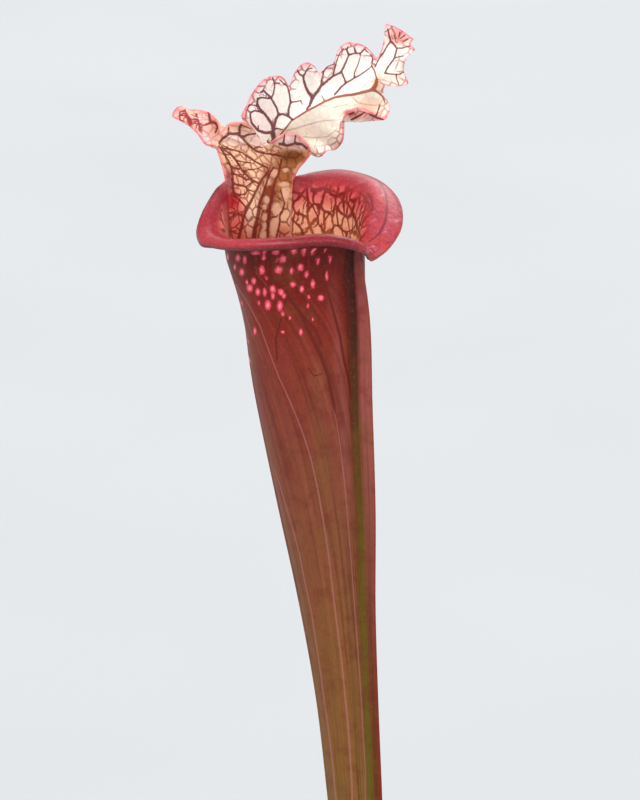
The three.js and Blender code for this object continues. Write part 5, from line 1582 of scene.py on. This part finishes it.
def medium_piece():
    """The medium as one body, with peat crumbs, fibres and perlite scattered clear of rhizome and stems."""
    reach = pot_radius(MEDIUM_HEIGHT) - POT_WALL - 2 * FIT_GAP
    body, cells, triangles = medium_body(reach)
    draw = np.random.default_rng(SEED)
    stems = np.array([TALL_LEAF_PLACE, YOUNG_PITCHER[:2], SWORD_LEAVES[0][:2], SWORD_LEAVES[1][:2]])
    count = len(body)
    points, shade, perlite = [body], [np.zeros(count)], [np.zeros(count)]
    for k, (number, rounds, roughness, least, most, form, white) in enumerate(LOOSE_BITS):
        shape, faces = icosphere(rounds, roughness, SEED + k)
        out = (reach - 2.5) * np.sqrt(draw.uniform(size=3 * number))
        way = draw.uniform(0, 2 * np.pi, 3 * number)
        x, y = out * np.cos(way), out * np.sin(way)
        near_stem = np.hypot(x[:, None] - stems[:, 0], y[:, None] - stems[:, 1]).min(axis=1) < 9
        free = np.flatnonzero((in_rhizome(x, y) > 1.55) & ~near_stem)[:number]
        x, y = x[free], y[free]
        sizes = draw.uniform(least, most, len(free))[:, None] ** 1.3 * np.array(form)
        places = np.stack([x, y, medium_top(x, y) + 0.25 * sizes.min(axis=1)], axis=1)
        bits, numbers = scattered(shape, faces, places, sizes, SEED + 10 + k, count)
        points.append(bits)
        triangles.append(numbers)
        shade.append(np.repeat(draw.uniform(0, 1, len(free)), len(shape)))
        perlite.append(np.full(len(bits), float(white)))
        count += len(bits)
    marks = {"shade": np.concatenate(shade), "perlite": np.concatenate(perlite)}
    mesh_piece("peat_body", np.concatenate(points), [cells, *triangles], medium_finish(),
               "growing_medium", marks)


def leaf_way(leaf, share):
    """A young leaf's direction at a share of its length: it leans out and bends further by the square."""
    lean, bend, turn = (math.radians(x) for x in leaf[3:])
    tilt = lean + bend * share ** 2
    return np.stack([np.sin(tilt) * math.cos(turn), np.sin(tilt) * math.sin(turn), np.cos(tilt)], axis=-1)


def rhizome_root():
    """The root: an ellipsoid with leaf scars round it and a straight-sided hollow where each leaf stands."""
    pole_angle = np.linspace(0, np.pi, RHIZOME_ROWS + 1)[1:-1]
    around = full_turn(RHIZOME_SIDES)
    sine = np.sin(pole_angle)[:, None]
    direction = np.stack([np.cos(pole_angle)[:, None] * np.ones(RHIZOME_SIDES), sine * np.cos(around),
                          sine * np.sin(around)], axis=-1)
    flat = (direction * RHIZOME_HALVES).reshape(-1, 3)
    normal = unit(direction / RHIZOME_HALVES).reshape(-1, 3)
    scars = np.abs(np.sin(np.pi * (flat[:, 0] / 2.6 + 0.35 * waves(flat, 8, 6, 20, SEED)))) ** 0.6
    push = -0.45 * (1 - scars) + 0.35 * waves(flat, 20, 1.5, 8, SEED + 1)
    skin = flat + normal * push[:, None] * np.sin(np.repeat(pole_angle, RHIZOME_SIDES))[:, None]
    holes = [(TALL_LEAF_PLACE, unit(np.array(TALL_LEAF_WAY)), TALL_LEAF_HOLE)]
    for leaf in (YOUNG_PITCHER, *SWORD_LEAVES):
        holes.append((leaf[:2], leaf_way(leaf, np.zeros(1))[0], LEAF_FOOT_RADIUS + FIT_GAP))
    for place, way, wide in holes:
        off = skin - np.array([*place, 0.0])
        apart = np.linalg.norm(off - (off @ way)[:, None] * way, axis=1)
        sunk = HOLE_DEPTH * smooth(wide + 0.25 - apart, 0, 0.5) * (skin[:, 2] > 2)
        skin = skin - way * sunk[:, None]
    poles = np.array([[RHIZOME_HALVES[0], 0, 0], [-RHIZOME_HALVES[0], 0, 0]])
    last = len(skin) - RHIZOME_SIDES + np.arange(RHIZOME_SIDES)
    ends = [fan(np.arange(RHIZOME_SIDES), len(skin)), fan(last, len(skin) + 1, flip=True)]
    cells = rings_closed(skin.reshape(RHIZOME_ROWS - 1, RHIZOME_SIDES, 3))[:, ::-1]
    return np.concatenate([skin, poles]), cells, ends


def old_leaf_stub(k, start):
    """The ragged base of an old leaf: a ribbed tapering ring with a torn edge, sunk inside."""
    across, back, lean_across, lean_backwards, radius, height = OLD_LEAF_STUBS[k]
    foot = np.array([across, back, 0.0])
    way = unit(np.array([lean_across, lean_backwards, 1.0]))
    broad = unit(np.cross(way, [0, 1.0, 0]))
    deep = np.cross(way, broad)
    turn = full_turn(STUB_SIDES)
    torn = 0.9 * waves(np.stack([3 * np.cos(turn), 3 * np.sin(turn)], axis=1), 9, 0.8, 5, SEED + 20 + k)
    share = np.linspace(0, 1, STUB_ROWS)
    rise = share[:, None]
    level = rise * height + torn * smooth(share, 0.5, 1)[:, None] - 0.8 * rise ** 8
    wall = (radius * (1.25 - 0.25 * share))[:, None] * (1 + 0.05 * np.sin(9 * turn + k) * rise)
    bottom = np.full(STUB_SIDES, height - STUB_HOLLOW)
    sunk = [level[-1] - 0.3, level[-1] * 0.4 + (height - 2.4) * 0.6, bottom]
    level = np.concatenate([level, sunk])
    wall = np.concatenate([wall, [wall[-1] * 0.8, wall[-1] * 0.55, wall[-1] * 0.3]])
    ring = (foot + level[..., None] * way
            + (wall * np.cos(turn))[..., None] * broad + (wall * np.sin(turn))[..., None] * deep)
    points = np.concatenate([ring.reshape(-1, 3), [foot, foot + (height - STUB_HOLLOW) * way]])
    size = wall.size
    last = start + size - STUB_SIDES + np.arange(STUB_SIDES)
    ends = [fan(start + np.arange(STUB_SIDES), start + size, flip=True), fan(last, start + size + 1)]
    # Dryness rises up each stub; its hollow's rings take the highest values, which the finish darkens as
    # painted shade.
    dryness_and_hollow_shade = np.repeat(np.concatenate([0.2 + 0.6 * share, [0.9, 0.97, 1]]), STUB_SIDES)
    return points, rings_closed(ring, start), ends, np.concatenate([dryness_and_hollow_shade, [0.2, 1]])


def rhizome_piece():
    """The rhizome with the ragged bases of old leaves."""
    root, root_cells, triangles = rhizome_root()
    points, cells, dryness_and_hollow_shade = [root], [root_cells], [np.zeros(len(root))]
    count = len(root)
    for k in range(len(OLD_LEAF_STUBS)):
        stub, stub_cells, ends, dry_and_hollow_shade = old_leaf_stub(k, count)
        points.append(stub)
        cells.append(stub_cells)
        triangles += ends
        dryness_and_hollow_shade.append(dry_and_hollow_shade)
        count += len(stub)
    mesh_piece("rhizome_body", np.concatenate(points) + [0, 0, RHIZOME_HEIGHT], cells + triangles,
               rhizome_finish(), "rhizome", {"stub": np.concatenate(dryness_and_hollow_shade)})


def young_piece(name, node, leaf, section, ribs, material):
    """A young leaf: rings along its bending middle line, round at the foot, with fine ribs lengthwise."""
    across, back, height = leaf[:3]
    start = np.array([across, back, RHIZOME_HEIGHT])
    shares = np.linspace(0, 1, SOURCE_ROWS + 1)
    steps = leaf_way(leaf, shares) * height / SOURCE_ROWS
    middles = start + np.concatenate([np.zeros((1, 3)), np.cumsum(steps, axis=0)[:-1]])
    share = 1 - (1 - np.linspace(0, 1, YOUNG_ROWS + 1)) ** 1.3
    middle = through(shares, middles, share)
    turn = math.radians(leaf[5])
    broad = np.array([-math.sin(turn), math.cos(turn), 0.0])
    deep = unit(np.cross(broad, leaf_way(leaf, share)))
    wide, thick = along(section, share).T
    angle = full_turn(YOUNG_SIDES)
    rise = 1 + 0.02 * np.cos(ribs * angle)[None, :] * smooth(share, 0.1, 0.3)[:, None]
    ring = (middle[:, None] + (wide[:, None] * rise * np.cos(angle))[..., None] * broad
            + (thick[:, None] * rise * np.sin(angle))[..., None] * deep[:, None])
    tip = middles[-1] + leaf_way(leaf, np.ones(1))[0] * height / SOURCE_ROWS / 2
    points = np.concatenate([ring.reshape(-1, 3), [start, tip]])
    size = len(points) - 2
    last = size - YOUNG_SIDES + np.arange(YOUNG_SIDES)
    ends = np.concatenate([fan(np.arange(YOUNG_SIDES), size, flip=True), fan(last, size + 1)])
    level = np.concatenate([np.repeat(share, YOUNG_SIDES), [0, 1]])
    around = np.concatenate([np.tile(angle, len(share)), [0, 0]])
    strand = np.stack([4 * np.cos(around), 4 * np.sin(around), level * 2.2], axis=1)
    mesh_piece(name, points, [rings_closed(ring)[:, ::-1], ends[:, ::-1]], material, node,
               {"share": level, "strand": strand})


def floor():
    """A wide plain floor, level with the pot's underside."""
    mesh = bpy.data.meshes.new("floor")
    corners = [(-FLOOR_REACH, -FLOOR_REACH, 0), (FLOOR_REACH, -FLOOR_REACH, 0),
               (FLOOR_REACH, FLOOR_REACH, 0), (-FLOOR_REACH, FLOOR_REACH, 0)]
    mesh.from_pydata(corners, [], [(0, 1, 2, 3)])
    f = Finish("floor_paint", Roughness=0.9)
    f.base = f.mix(f.noise(f.place(), 3, 2), tone(178, 180, 181), tone(185, 187, 188))
    mesh.materials.append(f.finished())
    piece = placed("floor", mesh)


def camera():
    """Sees the mouth's middle from 15 degrees above, at its place in the picture's frame."""
    right = (PICTURE_SIZE[0] / 2 - PICTURE_MOUTH[0]) / PICTURE_SCALE
    up = (PICTURE_MOUTH[1] - PICTURE_SIZE[1] / 2) / PICTURE_SCALE
    c, s = math.cos(VIEW_TILT), math.sin(VIEW_TILT)
    target = MOUTH + np.array([right, up * s, up * c])
    place = MOUTH - PICTURE_REACH * np.array([0, c, -s])
    data = bpy.data.cameras.new("camera")
    data.sensor_width = SENSOR_WIDTH
    data.lens = SENSOR_WIDTH * np.linalg.norm(target - place) * PICTURE_SCALE / PICTURE_SIZE[1]
    data.clip_start, data.clip_end = 0.1, 100
    eye = placed("camera", data)
    eye.location = place * MM
    eye.rotation_euler = Vector(target - place).to_track_quat("-Z", "Y").to_euler()
    bpy.context.scene.camera = eye


def sun(name, azimuth, elevation, strength, spread, colour):
    """A broad soft light from an azimuth (0 from the camera's side, 90 from the right) and an elevation."""
    data = bpy.data.lights.new(name, "SUN")
    data.energy, data.angle, data.color = strength, math.radians(spread), colour
    placed(name, data).rotation_euler = (math.radians(90 - elevation), 0, math.radians(azimuth))


def surroundings():
    """Even pale light from all round, with colours shown as they are set."""
    world = bpy.data.worlds.new("studio")
    bpy.context.scene.world = world
    world.use_nodes = True
    backdrop = world.node_tree.nodes["Background"]
    backdrop.inputs["Color"].default_value = tone(214, 220, 228)
    backdrop.inputs["Strength"].default_value = 0.88
    bpy.context.scene.view_settings.view_transform = "Standard"


faces, made = tall_leaf()
mesh_piece("tall_pitcher", made.points + MOUTH, faces, leaf_finish(), "pitcher",
           leaf_marks(made))
pot_piece()
medium_piece()
rhizome_piece()
beak_skin = young_finish("young_pitcher_skin", (166, 150, 104), (104, 124, 46), (124, 104, 50), (136, 52, 44))
young_piece("closed_pitcher", "young_pitcher", YOUNG_PITCHER, BEAK_SECTION, BEAK_RIBS, beak_skin)
blade_skin = young_finish("sword_leaf_skin", (160, 148, 100), (96, 128, 44), (104, 136, 50), (134, 112, 52))
for number, leaf in enumerate(SWORD_LEAVES, 1):
    young_piece(f"sword_blade_{number}", f"sword_leaf_{number}", leaf, BLADE_SECTION, BLADE_RIBS, blade_skin)

floor()
camera()
surroundings()
sun("window_light", -40, 45, 2.2, 35, (1.0, 0.98, 0.95))
sun("room_light", 165, 45, 1.8, 50, (1.0, 0.98, 0.96))
sun("low_light", 40, 12, 1.8, 70, (1.0, 0.98, 0.96))
